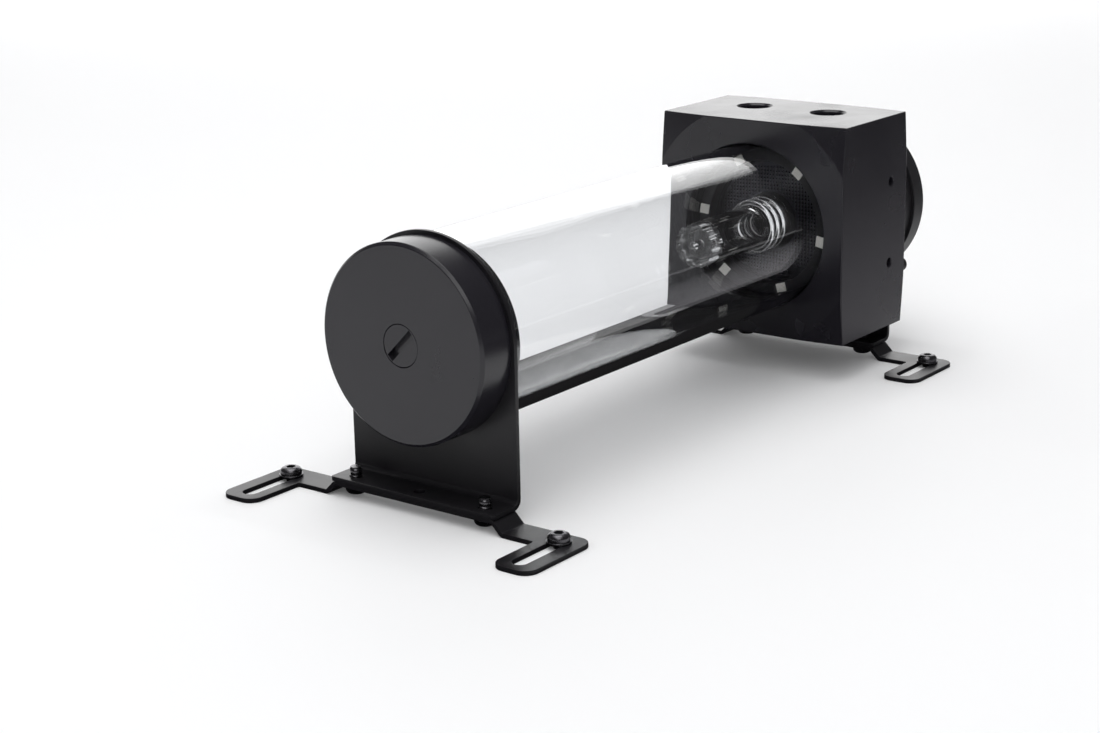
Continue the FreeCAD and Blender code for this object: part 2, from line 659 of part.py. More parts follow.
def make_block():
    """Square pump block, both faces turned back at the corners, with its bores and ducts."""
    body = new_body("block_body")
    square = new_sketch(body, "block_outline", "YZ_Plane", "block_front_x")
    rectangle(square, "-block_width / 2", "-block_height / 2", "block_width / 2", "block_height / 2")
    padded(body, "block_square", square, "block_depth")
    front_corner = (
        ("block_front_x", "face_circle_r"),
        ("block_front_x + corner_setback", "corner_r"),
        ("block_front_x - 1", "corner_r"),
        ("block_front_x - 1", "face_circle_r"),
    )
    rear_corner = (
        ("block_rear_x", "face_circle_r"),
        ("block_rear_x - corner_setback", "corner_r"),
        ("block_rear_x + 1", "corner_r"),
        ("block_rear_x + 1", "face_circle_r"),
    )
    turned(body, "front_corners", front_corner, cut=True)
    turned(body, "rear_corners", rear_corner, cut=True)
    front_bores = (
        ("block_front_x", "0"),
        ("block_front_x", "bore_r"),
        ("bore_seal_x - seal_groove_half", "bore_r"),
        ("bore_seal_x - seal_groove_half", "bore_groove_r"),
        ("bore_seal_x + seal_groove_half", "bore_groove_r"),
        ("bore_seal_x + seal_groove_half", "bore_r"),
        ("tube_rear_x", "bore_r"),
        ("tube_rear_x", "recess_outer_r"),
        ("tube_rear_x + recess_depth", "recess_outer_r"),
        ("tube_rear_x + recess_depth", "recess_inner_r"),
        ("tube_rear_x", "recess_inner_r"),
        ("tube_rear_x", "riser_socket_r"),
        ("tube_rear_x + riser_socket_depth", "riser_socket_r"),
        ("tube_rear_x + riser_socket_depth", "0"),
    )
    rear_bores = (
        ("block_rear_x", "0"),
        ("block_rear_x", "bracket_hole_r"),
        ("pocket_floor_x", "bracket_hole_r"),
        ("pocket_floor_x", "volute_r"),
        ("volute_floor_x", "volute_r"),
        ("volute_floor_x", "eye_r"),
        ("eye_x", "eye_r"),
        ("eye_x", "0"),
    )
    turned(body, "tube_bore", front_bores, cut=True)
    turned(body, "pump_pocket", rear_bores, cut=True)
    ports = new_sketch(body, "port_outline", "XY_Plane", "block_height / 2")
    circle(ports, "port_x", "-port_half", "port_r")
    circle(ports, "port_x", "port_half", "port_r")
    pocketed(body, "coolant_ports", ports, "port_depth")
    duct = new_sketch(body, "outlet_duct_outline", "XY_Plane", "block_height / 2")
    circle(duct, "outlet_x", "-port_half", "outlet_duct_r")
    pocketed(body, "outlet_duct", duct, "block_height / 2 - outlet_reach")
    side = new_sketch(body, "side_hole_outline", "XZ_Plane", "block_width / 2")
    circle(side, "side_hole_x", "-side_hole_half", "side_hole_r")
    circle(side, "side_hole_x", "side_hole_half", "side_hole_r")
    pocketed(body, "side_holes", side, "side_hole_depth")
    rear = new_sketch(body, "rear_hole_outline", "YZ_Plane", "block_rear_x")
    for side_sign in ("-", ""):
        for height_sign in ("-", ""):
            across = f"{side_sign}flange_screw_half"
            circle(rear, across, f"{height_sign}flange_screw_half", "screw_hole_r")
    pocketed(body, "pump_screw_holes", rear, "pump_screw_reach + 2")
    socket = new_sketch(body, "led_cable_hole_outline", "YZ_Plane", "block_rear_x")
    circle(socket, "-led_grommet_side", "-led_grommet_drop", "led_grommet_r * 0.6")
    pocketed(body, "led_cable_hole", socket, "6")
    tools = [slanted_duct(*ends) for ends in duct_routes()]
    block = cut("pump_top_block", body, fused("slanted_ducts", tools))
    return keep(block, "pump_top_block")


def duct_routes():
    """Name, radius and ends of the ducts that are drilled at a slant."""
    axis = size("axis_z")
    port = Vector(size("port_x") - 2, size("port_half"), axis + size("port_floor") + 1)
    heading = math.atan2(port.z - axis, port.y)
    start = Vector(size("tube_rear_x") + size("riser_socket_depth") - 1.5, 0, axis)
    routes = [("return_duct", size("return_duct_r"), start, port)]
    for index in range(SUCTION_COUNT):
        angle = heading + math.pi * (2 * index + 1) / SUCTION_COUNT
        out = Vector(0, math.cos(angle), math.sin(angle))
        mouth = out * size("suction_ring_r") + Vector(size("tube_rear_x") + 2.5, 0, axis)
        eye = out * size("suction_eye_r") + Vector(size("volute_floor_x") - 0.8, 0, axis)
        routes.append((f"suction_duct_{index + 1}", size("suction_duct_r"), mouth, eye))
    return routes


def slanted_duct(name, radius, start, end):
    """Straight round duct between two points."""
    way = end - start
    duct = doc.addObject("Part::Cylinder", name)
    duct.Radius = radius
    duct.Height = way.Length
    duct.Placement = Placement(start, Rotation(Vector(0, 0, 1), way))
    return duct


def make_riser():
    """Clear riser with a threaded end, a flange and thread rings along its root."""
    body = new_body("riser_tube")
    points = [
        ("riser_front_x", "riser_inner_r"),
        ("tube_rear_x + riser_socket_depth - 1", "riser_inner_r"),
        ("tube_rear_x + riser_socket_depth - 1", "riser_spigot_r"),
        ("tube_rear_x", "riser_spigot_r"),
        ("tube_rear_x", "riser_flange_r"),
        ("tube_rear_x - riser_flange_t", "riser_flange_r"),
        ("tube_rear_x - riser_flange_t", "riser_outer_r"),
    ]
    for index in range(RING_COUNT):
        rear = f"tube_rear_x - riser_flange_t - thread_ring_pitch * {index + 1} + thread_ring_width"
        points.append((rear, "riser_outer_r"))
        points.append((rear, "riser_flange_r - 0.3"))
        points.append((rear + " - thread_ring_width", "riser_flange_r - 0.3"))
        points.append((rear + " - thread_ring_width", "riser_outer_r"))
    points.append(("riser_front_x", "riser_outer_r"))
    turned(body, "riser_wall_turn", points)
    return keep(body, "riser_tube")


def make_diffuser():
    """Fluted end of the riser with a jet hole in its face."""
    body = new_body("diffuser_body")
    points = (
        ("diffuser_front_x", "diffuser_hole_r"),
        ("diffuser_front_x", "riser_outer_r"),
        ("riser_front_x", "riser_outer_r"),
        ("riser_front_x", "diffuser_spigot_r"),
        ("riser_front_x + 4", "diffuser_spigot_r"),
        ("riser_front_x + 4", "diffuser_hole_r"),
    )
    turned(body, "diffuser_turn", points)
    flutes = []
    for index in range(FLUTE_COUNT):
        flute = rod(f"flute_{index + 1}", "flute_r", "diffuser_length - 1.5", x="diffuser_front_x")
        angle = 2 * math.pi * index / FLUTE_COUNT
        bind(flute, "Placement.Base.y", f"riser_outer_r * {math.cos(angle):.6f}")
        bind(flute, "Placement.Base.z", f"axis_z + riser_outer_r * {math.sin(angle):.6f}")
        flutes.append(flute)
    return keep(cut("riser_diffuser", body, fused("flutes", flutes)), "riser_diffuser")


def make_strainer():
    """Perforated ring over the suction recess, with square holes in two rows."""
    sheet = rod("strainer_disc", "recess_outer_r - fit_gap", "strainer_t", x="strainer_x")
    tools = [rod("strainer_bore", "recess_inner_r + fit_gap", "strainer_t * 3", x="strainer_x - strainer_t")]
    for row, (share, count) in enumerate(STRAINER_ROWS):
        for index in range(count):
            angle = 2 * math.pi * (index + row / 2) / count
            out = f"(recess_inner_r + (recess_outer_r - recess_inner_r) * {share})"
            hole = doc.addObject("Part::Prism", f"strainer_hole_{row}_{index}")
            hole.Polygon = 4
            bind(hole, "Circumradius", "strainer_hole_r")
            bind(hole, "Height", "strainer_t * 3")
            hole.Placement = Placement(Vector(), Rotation(Vector(1, 0, 0), math.degrees(angle) + 45) * ALONG_X)
            bind(hole, "Placement.Base.x", "strainer_x - strainer_t")
            bind(hole, "Placement.Base.y", f"{out} * {math.cos(angle):.6f}")
            bind(hole, "Placement.Base.z", f"axis_z + {out} * {math.sin(angle):.6f}")
            tools.append(hole)
    return keep(cut("suction_strainer", sheet, fused("strainer_holes", tools)), "suction_strainer")


def make_lights():
    """Light ring inside the tube's root, with its chips facing the tube."""
    body = new_body("led_ring")
    points = (
        ("led_ring_x", "led_ring_inner_r"),
        ("tube_rear_x", "led_ring_inner_r"),
        ("tube_rear_x", "led_ring_outer_r"),
        ("led_ring_x", "led_ring_outer_r"),
    )
    turned(body, "led_ring_turn", points)
    keep(body, "led_ring")
    chips = []
    for index in range(LED_COUNT):
        angle = 360.0 * index / LED_COUNT + size("led_turn")
        chip = doc.addObject("Part::Box", f"led_chip_{index + 1}")
        bind(chip, "Length", "led_height")
        bind(chip, "Width", "led_size")
        bind(chip, "Height", "led_size")
        turn = Rotation(Vector(1, 0, 0), angle)
        corner = Vector(
            size("led_ring_x") - size("led_height"),
            size("led_mid_r") - size("led_size") / 2,
            -size("led_size") / 2,
        )
        chip.Placement = Placement(turn.multVec(corner) + Vector(0, 0, size("axis_z")), turn)
        chips.append(chip)
    return grouped("led_chips", chips)


def make_pump_housing():
    """Pump body: nose in the block, square flange, rotor cup and motor can."""
    body = new_body("pump_housing")
    points = (
        ("nose_front_x", "rotor_cup_r"),
        ("nose_front_x", "nose_r"),
        ("nose_seal_x - seal_groove_half", "nose_r"),
        ("nose_seal_x - seal_groove_half", "nose_groove_r"),
        ("nose_seal_x + seal_groove_half", "nose_groove_r"),
        ("nose_seal_x + seal_groove_half", "nose_r"),
        ("flange_x", "nose_r"),
        ("flange_x", "can_r"),
        ("can_rear_x", "can_r"),
        ("can_rear_x", "can_inner_r"),
        ("stator_wide_x", "can_inner_r"),
        ("stator_wide_x", "stator_step_r"),
        ("stator_x", "stator_step_r"),
        ("stator_x", "cup_outer_r"),
        ("cup_rear_x", "cup_outer_r"),
        ("cup_rear_x", "0"),
        ("cup_floor_x", "0"),
        ("cup_floor_x", "rotor_cup_r"),
    )
    turned(body, "housing_turn", points)
    flange = new_sketch(body, "flange_outline", "YZ_Plane", "flange_x")
    rectangle(flange, "-flange_half", "-flange_half", "flange_half", "flange_half")
    circle(flange, "0", "0", "can_r - can_wall / 2")
    padded(body, "flange_plate", flange, "flange_thickness")
    half = size("flange_half")

    def flange_corner(middle, direction):
        at_corner = abs(abs(middle.y) - half) < 1e-3 and abs(abs(middle.z) - half) < 1e-3
        return along(direction, "x") and at_corner

    rounded(body, "flange_corners", flange_corner, "flange_corner_r")
    holes = new_sketch(body, "flange_hole_outline", "YZ_Plane", "can_front_x")
    for side_sign in ("-", ""):
        for height_sign in ("-", ""):
            across = f"{side_sign}flange_screw_half"
            circle(holes, across, f"{height_sign}flange_screw_half", "screw_hole_r")
    pocketed(body, "flange_holes", holes, "flange_thickness")
    return keep(body, "pump_housing")


def make_stator():
    """Laminated ring round the rotor cup, with its coils behind it."""
    ring = rod("stator_blank", "stator_step_r - fit_gap", "cup_rear_x - stator_x", x="stator_x")
    bore = rod("stator_bore", "cup_outer_r + fit_gap", "cup_rear_x - stator_x + 2", x="stator_x - 1")
    keep(cut("stator_core", ring, bore), "stator_core")
    coils = []
    for index in range(COIL_COUNT):
        coil = doc.addObject("Part::Box", f"coil_{index + 1}")
        bind(coil, "Length", "can_rear_x - cup_rear_x - coil_gap")
        bind(coil, "Width", "can_inner_r - coil_inner_r - coil_gap")
        bind(coil, "Height", "stator_step_r / 3")
        turn = Rotation(Vector(1, 0, 0), 360.0 * index / COIL_COUNT)
        corner = Vector(size("cup_rear_x"), size("coil_inner_r"), -size("stator_step_r") / 6)
        coil.Placement = Placement(turn.multVec(corner) + Vector(0, 0, size("axis_z")), turn)
        coils.append(coil)
    return grouped("stator_coils", coils)


def make_rear_cover():
    """Cover of the motor can, with the dial's hole and the cable's hole."""
    body = new_body("pump_rear_cover")
    points = (
        ("can_rear_x", "board_r + fit_gap"),
        ("can_rear_x", "cover_r"),
        ("cover_rear_x - cover_edge", "cover_r"),
        ("cover_rear_x", "cover_r - cover_edge"),
        ("cover_rear_x", "0"),
        ("cover_floor_x", "0"),
        ("cover_floor_x", "board_r - 1.5"),
        ("board_rear_x", "board_r - 1.5"),
        ("board_rear_x", "board_r + fit_gap"),
    )
    turned(body, "cover_turn", points)
    holes = new_sketch(body, "cover_hole_outline", "YZ_Plane", "cover_rear_x")
    circle(holes, "dial_offset", "0", "dial_bore_r")
    circle(holes, "0", "-pump_grommet_drop", "pump_grommet_neck + fit_gap")
    pocketed(body, "cover_holes", holes, "cover_floor")
    return keep(body, "pump_rear_cover")


def make_electronics():
    """Circuit board behind the coils and the potentiometer of the speed dial."""
    board = rod("controller_board", "board_r", "board_thickness", x="board_x")
    keep(board, "controller_board")
    case = doc.addObject("Part::Box", "potentiometer_case")
    bind(case, "Length", "cover_floor_x - board_rear_x - 0.6")
    bind(case, "Width", "dial_r * 1.6")
    bind(case, "Height", "dial_r * 1.6")
    bind(case, "Placement.Base.x", "board_rear_x")
    bind(case, "Placement.Base.y", "dial_offset - dial_r * 0.8")
    bind(case, "Placement.Base.z", "axis_z - dial_r * 0.8")
    bore = rod(
        "potentiometer_bore",
        "stem_r + dial_clearance",
        "cover_floor_x - board_rear_x",
        x="board_rear_x",
        y="dial_offset",
    )
    keep(cut("speed_potentiometer", case, bore), "speed_potentiometer")


def make_speed_dial():
    """Small slotted dial sunk in the rear cover, on a stem to the potentiometer."""
    head = rod("dial_head", "dial_r", "dial_rear_x - cover_floor_x", x="cover_floor_x", y="dial_offset")
    stem = rod(
        "dial_stem",
        "stem_r",
        "cover_floor_x - board_rear_x - 0.3",
        x="board_rear_x + 0.3",
        y="dial_offset",
    )
    slot = doc.addObject("Part::Box", "dial_slot")
    bind(slot, "Length", "dial_recess + 1.2")
    bind(slot, "Width", "dial_r * 1.5")
    bind(slot, "Height", "dial_r * 0.3")
    bind(slot, "Placement.Base.x", "dial_rear_x - 1.2")
    bind(slot, "Placement.Base.y", "dial_offset - dial_r * 0.75")
    bind(slot, "Placement.Base.z", "axis_z - dial_r * 0.15")
    return keep(cut("speed_dial", fused("dial_body", [head, stem]), slot), "speed_dial")


def make_grommet(label, radius, bore, neck, height, x, depth, y, z):
    """Rubber cable grommet: a collar outside the wall and a neck in its hole."""
    collar = rod(label + "_collar", radius, height, x=x, y=y, z=z)
    stem = rod(label + "_neck", neck, depth, x=f"{x} - ({depth})", y=y, z=z)
    hole = rod(label + "_bore", bore, f"{height} + {depth} + 2", x=f"{x} - ({depth}) - 1", y=y, z=z)
    return keep(cut(label, fused(label + "_body", [collar, stem]), hole), label)


def make_vane(index):
    """Curved impeller vane: a sector of a thin ring that runs from the hub to the rim."""
    bend = size("vane_curve_r")
    wall = size("vane_thickness")
    inner = size("vane_inner_r")
    outer = size("impeller_r")
    reach = 2 * math.degrees(math.asin((outer - inner) / (2 * bend)))
    blank = doc.addObject("Part::Cylinder", f"vane_blank_{index}")
    hollow = doc.addObject("Part::Cylinder", f"vane_hollow_{index}")
    bind(blank, "Radius", "vane_curve_r + vane_thickness / 2")
    bind(hollow, "Radius", "vane_curve_r - vane_thickness / 2")
    for piece in (blank, hollow):
        bind(piece, "Height", "vane_height + 0.2")
    blank.Angle = reach
    centre = Vector(-bend * math.cos(math.radians(reach / 2)), inner + (outer - inner) / 2 - wall / 2, 0)
    blank.Placement = Placement(centre, Rotation(Vector(0, 0, 1), -reach / 2))
    hollow.Placement = Placement(centre, Rotation())
    vane = cut(f"vane_{index}", blank, hollow)
    turn = Rotation(Vector(1, 0, 0), 360.0 * index / VANE_COUNT) * ALONG_X
    vane.Placement = Placement(Vector(size("vane_x"), 0, size("axis_z")), turn)
    return vane


def make_rotor():
    """Impeller with curved vanes, magnet and bearing cup, running on a ball."""
    disc = rod("impeller_back", "impeller_r", "impeller_disc", x="disc_x")
    hub = rod("impeller_hub", "hub_r", "magnet_front_x - vane_x", x="vane_x")
    boss = rod("impeller_boss", "hub_r * 1.8", "magnet_front_x - disc_x", x="disc_x")
    vanes = [make_vane(index) for index in range(VANE_COUNT)]
    keep(fused("impeller", [disc, hub, boss] + vanes), "impeller")
    body = new_body("rotor_magnet")
    points = (
        ("magnet_front_x", "hub_r + 0.05"),
        ("magnet_front_x", "magnet_r"),
        ("magnet_rear_x - 3", "magnet_r"),
        ("magnet_rear_x", "magnet_r - 3"),
        ("magnet_rear_x", "post_r + 1.3"),
        ("ball_x + 0.2", "post_r + 1.3"),
        ("ball_x + 0.2", "hub_r + 0.05"),
    )
    turned(body, "magnet_turn", points)
    keep(body, "rotor_magnet")
    blank = rod("bearing_cup_blank", "hub_r", "ball_x - magnet_front_x", x="magnet_front_x")
    seat = doc.addObject("Part::Sphere", "bearing_cup_seat")
    bind(seat, "Radius", "ball_r + ball_clearance")
    bind(seat, "Placement.Base.x", "ball_x")
    bind(seat, "Placement.Base.z", "axis_z")
    keep(cut("bearing_cup", blank, seat), "bearing_cup")
    ball = doc.addObject("Part::Sphere", "bearing_ball")
    bind(ball, "Radius", "ball_r")
    bind(ball, "Placement.Base.x", "ball_x")
    bind(ball, "Placement.Base.z", "axis_z")
    post = rod("bearing_stem", "post_r", "cup_floor_x - ball_x", x="ball_x")
    keep(fused("bearing_post", [ball, post]), "bearing_post")


def make_screw(name, x, y, z, shank, down=True):
    """Plain screw: a head and a shank below or behind it."""
    head = rod(name + "_head", "screw_head_r", "screw_head_h", x, y, z, lying=not down)
    start_z = f"{z} - ({shank})" if down else z
    start_x = x if down else f"{x} - ({shank})"
    stem = rod(name + "_shank", "screw_r", shank, start_x, y, start_z, lying=not down)
    return fused(name, [head, stem])


def make_foot_screws(label, plate_x):
    """Screws from below through bridge plate and foot, their ends standing above it."""
    screws = []
    for number, sign in enumerate(("-", "")):
        name = f"{label}_{number + 1}"
        x = f"{plate_x} - foot_screw_setback"
        y = f"{sign}foot_screw_half"
        grip = "plate_thickness + bracket_thickness + foot_screw_tip"
        head = rod(name + "_head", "screw_head_r", "screw_head_h", x, y, "bridge_rise - screw_head_h", lying=False)
        stem = rod(name + "_shank", "screw_r", grip, x, y, "bridge_rise", lying=False)
        screws.append(fused(name, [head, stem]))
    return grouped(label, screws)


def make_slot_screws(label, washer_label, centre_x):
    """Screws and washers in the slots; the shanks end level with the plates."""
    screws = []
    washers = []
    for number, sign in enumerate(("-", "")):
        x = f"{centre_x} + slot_screw_shift"
        y = f"{sign}slot_y"
        top = "plate_thickness + washer_t"
        screws.append(make_screw(f"{label}_{number + 1}", x, y, top, top))
        disc = rod(f"{washer_label}_disc_{number + 1}", "washer_r", "washer_t", x, y, "plate_thickness", lying=False)
        hole = rod(f"{washer_label}_hole_{number + 1}", "screw_hole_r", "washer_t", x, y, "plate_thickness", lying=False)
        washers.append(cut(f"{washer_label}_{number + 1}", disc, hole))
    grouped(label, screws)
    return grouped(washer_label, washers)


def make_pump_screws():
    """Four screws that clamp the pump flange and the rear bracket to the block."""
    screws = []
    for side_sign in ("-", ""):
        for height_sign in ("-", "+"):
            name = f"pump_screw_{len(screws) + 1}"
            y = f"{side_sign}flange_screw_half"
            z = f"axis_z {height_sign} flange_screw_half"
            shank = "can_front_x - block_rear_x + pump_screw_reach"
            screws.append(make_screw(name, "can_front_x", y, z, shank, down=False))
    return grouped("pump_screws", screws)


def check_and_export():
    """Stop on any failed object or bad shape, then write one file for each sub-part."""
    doc.recompute()
    for obj in doc.Objects:
        if {"Invalid", "Error"} & set(obj.State):
            raise RuntimeError(f"{obj.Label} failed: {obj.State}")
    os.makedirs("parts", exist_ok=True)
    for obj in nodes:
        shape = obj.Shape
        if shape.isNull() or not shape.isValid() or not shape.Solids:
            raise RuntimeError(f"{obj.Label} has no valid solid")
        shape.exportStep(f"parts/{obj.Label}.step")
        print(f"{obj.Label}: {len(shape.Solids)} solid, {shape.Volume:.1f} mm3")


make_bridge_plate("front_bridge_plate", "-slot_x")
make_bridge_plate("rear_bridge_plate", "slot_x")
keep(make_bracket("front_bracket", "front_plate_x"), "front_bracket")
make_rear_bracket()
make_tube()
make_end_cap()
ring_seal("cap_o_ring", "seal_r", "spigot_seal_r", "spigot_groove_x")
make_fill_plug()
ring_seal("fill_plug_o_ring", "plug_seal_r", "plug_seal_ring_r", "plug_seal_x")
make_block()
ring_seal("block_o_ring", "seal_r", "bore_seal_ring_r", "bore_seal_x")
make_riser()
make_diffuser()
make_strainer()
make_lights()
make_pump_housing()
ring_seal("pump_o_ring", "seal_r", "nose_seal_ring_r", "nose_seal_x")
make_stator()
make_rear_cover()
make_electronics()
make_speed_dial()
make_grommet(
    "pump_cable_grommet",
    "pump_grommet_r",
    "pump_grommet_bore",
    "pump_grommet_neck",
    "2",
    "cover_rear_x",
    "cover_floor",
    "0",
    "axis_z - pump_grommet_drop",
)
make_grommet(
    "led_cable_grommet",
    "led_grommet_r",
    "led_grommet_r * 0.4",
    "led_grommet_r * 0.55",
    "led_grommet_height",
    "block_rear_x",
    "5",
    "-led_grommet_side",
    "axis_z - led_grommet_drop",
)
make_rotor()
make_foot_screws("front_bracket_screws", "front_plate_x")
make_foot_screws("rear_bracket_screws", "rear_plate_x")
make_slot_screws("front_slot_screws", "front_slot_washers", "-slot_x")
make_slot_screws("rear_slot_screws", "rear_slot_washers", "slot_x")
make_pump_screws()
check_and_export()
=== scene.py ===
"""Looks of a coolant pump reservoir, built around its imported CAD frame."""

import logging
import math
from dataclasses import dataclass
from enum import Enum
from typing import Callable, Iterable, Sequence

import bmesh
import bpy
from mathutils import Matrix, Vector


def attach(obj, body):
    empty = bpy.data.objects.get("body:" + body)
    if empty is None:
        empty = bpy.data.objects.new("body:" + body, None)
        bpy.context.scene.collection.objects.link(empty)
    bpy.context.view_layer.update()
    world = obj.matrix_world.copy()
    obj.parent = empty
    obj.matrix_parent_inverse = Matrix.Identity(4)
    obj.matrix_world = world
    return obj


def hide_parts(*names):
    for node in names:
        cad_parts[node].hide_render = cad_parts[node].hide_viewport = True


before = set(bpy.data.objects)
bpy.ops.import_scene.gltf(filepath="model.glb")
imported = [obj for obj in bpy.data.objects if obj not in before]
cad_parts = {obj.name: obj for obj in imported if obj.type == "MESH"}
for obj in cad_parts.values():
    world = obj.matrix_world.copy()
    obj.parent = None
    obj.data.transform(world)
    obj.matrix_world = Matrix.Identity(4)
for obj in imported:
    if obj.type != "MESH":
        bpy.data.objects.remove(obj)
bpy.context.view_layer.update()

# Metres in a millimetre: sizes of the pieces are in millimetres, and Geometry Nodes trees take metres
MM = 0.001
AXIS_Z = 53.0
# X of the slots' centres, either way, and how far behind them the front of an upright stands
SLOT_CENTRE_X = 112.5
UPRIGHT_SHIFT = 16.0
# What plates, brackets and fasteners share: the sheet, the feet's underside and the screws' places
SHEET_T = 1.5
FOOT_Z = 5.0
SLOT_Y = 52.5
FOOT_SCREW_Y = 25.3
FOOT_SCREW_SETBACK = 7.0
PUMP_SCREW_HALF = 25.0
SCREW_HOLE_R = 2.05
# How far a cutter stands out of the face that it enters
PAST_FACE = 1.0
log = logging.getLogger("reservoir")

Point2 = tuple[float, float]
Corner = tuple[float, float, float]
InputSocket = tuple[str, str, object]
OutputSocket = tuple[str, str]


class Body(Enum):
    """The rigid bodies of the CAD frame."""

    RESERVOIR = "reservoir"
    ROTOR = "rotor"
    PLUG_SEAL = "plug_seal"
    FILL_PLUG = "fill_plug"
    SPEED_DIAL = "speed_dial"


class Side(Enum):
    """The two ends that carry the same bracket, plate and screws."""

    FRONT = "front"
    REAR = "rear"

    @property
    def slot_x(self) -> float:
        """X of the slots' centres in millimetres."""
        return -SLOT_CENTRE_X if self is Side.FRONT else SLOT_CENTRE_X

    @property
    def plate_x(self) -> float:
        """X of the front face of the bracket's upright in millimetres."""
        return self.slot_x + UPRIGHT_SHIFT


# Node trees


class TreeBuilder:
    """Adds nodes and links to one node tree."""

    def __init__(self, tree: bpy.types.NodeTree) -> None:
        """Keep the tree that is being built."""
        self.tree = tree

    def node(self, kind: str, values: dict | None = None, **settings: object) -> bpy.types.Node:
        """Add a node.

        Args:
            kind: The node's type name.
            values: Input name or number to a value, or to an output socket to link.
            settings: Properties of the node.

        Returns:
            The new node.
        """
        node = self.tree.nodes.new(kind)
        for name, value in settings.items():
            setattr(node, name, value)
        for key, value in (values or {}).items():
            if isinstance(value, bpy.types.NodeSocket):
                self.tree.links.new(value, node.inputs[key])
            else:
                node.inputs[key].default_value = value
        return node

    def link(self, source: bpy.types.NodeSocket, target: bpy.types.NodeSocket) -> None:
        """Join an output to an input."""
        self.tree.links.new(source, target)

    def maths(self, operation: str, first: object, second: object = 0.0) -> bpy.types.NodeSocket:
        """Add a Math node and return its result."""
        kind = "ShaderNodeMath"
        return self.node(kind, {0: first, 1: second}, operation=operation).outputs[0]

    def vector(self, x: object = 0.0, y: object = 0.0, z: object = 0.0) -> bpy.types.NodeSocket:
        """Add a Combine XYZ node and return its vector."""
        return self.node("ShaderNodeCombineXYZ", {0: x, 1: y, 2: z}).outputs[0]

    def place(self) -> bpy.types.NodeSocket:
        """Add Object coordinates and return them."""
        return self.node("ShaderNodeTexCoord").outputs["Object"]

    def noise(self, where: object, scale: object, detail: float) -> bpy.types.NodeSocket:
        """Add a noise texture and return its value."""
        values = {"Vector": where, "Scale": scale, "Detail": detail}
        return self.node("ShaderNodeTexNoise", values).outputs["Fac"]

    def ramp(self, value: object, span: Point2, result: Point2 = (0.0, 1.0)) -> bpy.types.NodeSocket:
        """Add a Map Range node.

        Args:
            value: What is mapped.
            span: The two values between which it changes.
            result: What comes out at the two ends.

        Returns:
            The node's result.
        """
        limits = {"From Min": span[0], "From Max": span[1], "To Min": result[0], "To Max": result[1]}
        return self.node("ShaderNodeMapRange", {"Value": value, **limits}).outputs[0]

    def mixed(self, factor: object, first: object, second: object) -> bpy.types.NodeSocket:
        """Mix two colours by a mask and return the result."""
        return self.node("ShaderNodeMix", {0: factor, 6: first, 7: second}, data_type="RGBA").outputs[2]

    def moved(self, geometry: object, shift: object) -> bpy.types.NodeSocket:
        """Move a geometry and return it."""
        return self.node("GeometryNodeTransform", {"Geometry": geometry, "Translation": shift}).outputs[0]

    def cut(self, base: object, tool: object) -> bpy.types.NodeSocket:
        """Cut one geometry from another and return what is left."""
        values = {"Mesh 1": base, "Mesh 2": tool}
        return self.node("GeometryNodeMeshBoolean", values, operation="DIFFERENCE").outputs["Mesh"]

    def joined(self, *pieces: bpy.types.NodeSocket) -> bpy.types.NodeSocket:
        """Join geometries.

        Args:
            pieces: The geometries in their order.

        Returns:
            The whole.
        """
        whole = self.node("GeometryNodeJoinGeometry")
        for piece in pieces:
            self.link(piece, whole.inputs[0])
        return whole.outputs[0]


def shader_group(name: str, inputs: Sequence[InputSocket], outputs: Sequence[OutputSocket]) -> TreeBuilder:
    """Start a shader group with named sockets.

    Args:
        name: The group's name.
        inputs: Socket name, socket type and default value of each input.
        outputs: Socket name and socket type of each output.

    Returns:
        A builder whose tree has the sockets and no nodes yet.
    """
    tree = bpy.data.node_groups.new(name, "ShaderNodeTree")
    for label, kind, value in inputs:
        socket = tree.interface.new_socket(name=label, in_out="INPUT", socket_type=kind)
        socket.default_value = value
    for label, kind in outputs:
        tree.interface.new_socket(name=label, in_out="OUTPUT", socket_type=kind)
    return TreeBuilder(tree)


def surface_grain_group() -> bpy.types.NodeTree:
    """Fine grain and broad mottling of a matt or satin surface.

    Returns:
        A group that puts out a fine height and a broad mask.
    """
    inputs = (("Fine Scale", "NodeSocketFloat", 900.0), ("Broad Scale", "NodeSocketFloat", 40.0))
    outputs = (("Fine", "NodeSocketFloat"), ("Broad", "NodeSocketFloat"))
    build = shader_group("surface_grain", inputs, outputs)
    start = build.node("NodeGroupInput")
    end = build.node("NodeGroupOutput")
    where = build.place()
    fine = build.noise(where, start.outputs["Fine Scale"], 3.0)
    broad = build.noise(where, start.outputs["Broad Scale"], 4.0)
    build.link(fine, end.inputs["Fine"])
    build.link(broad, end.inputs["Broad"])
    return build.tree


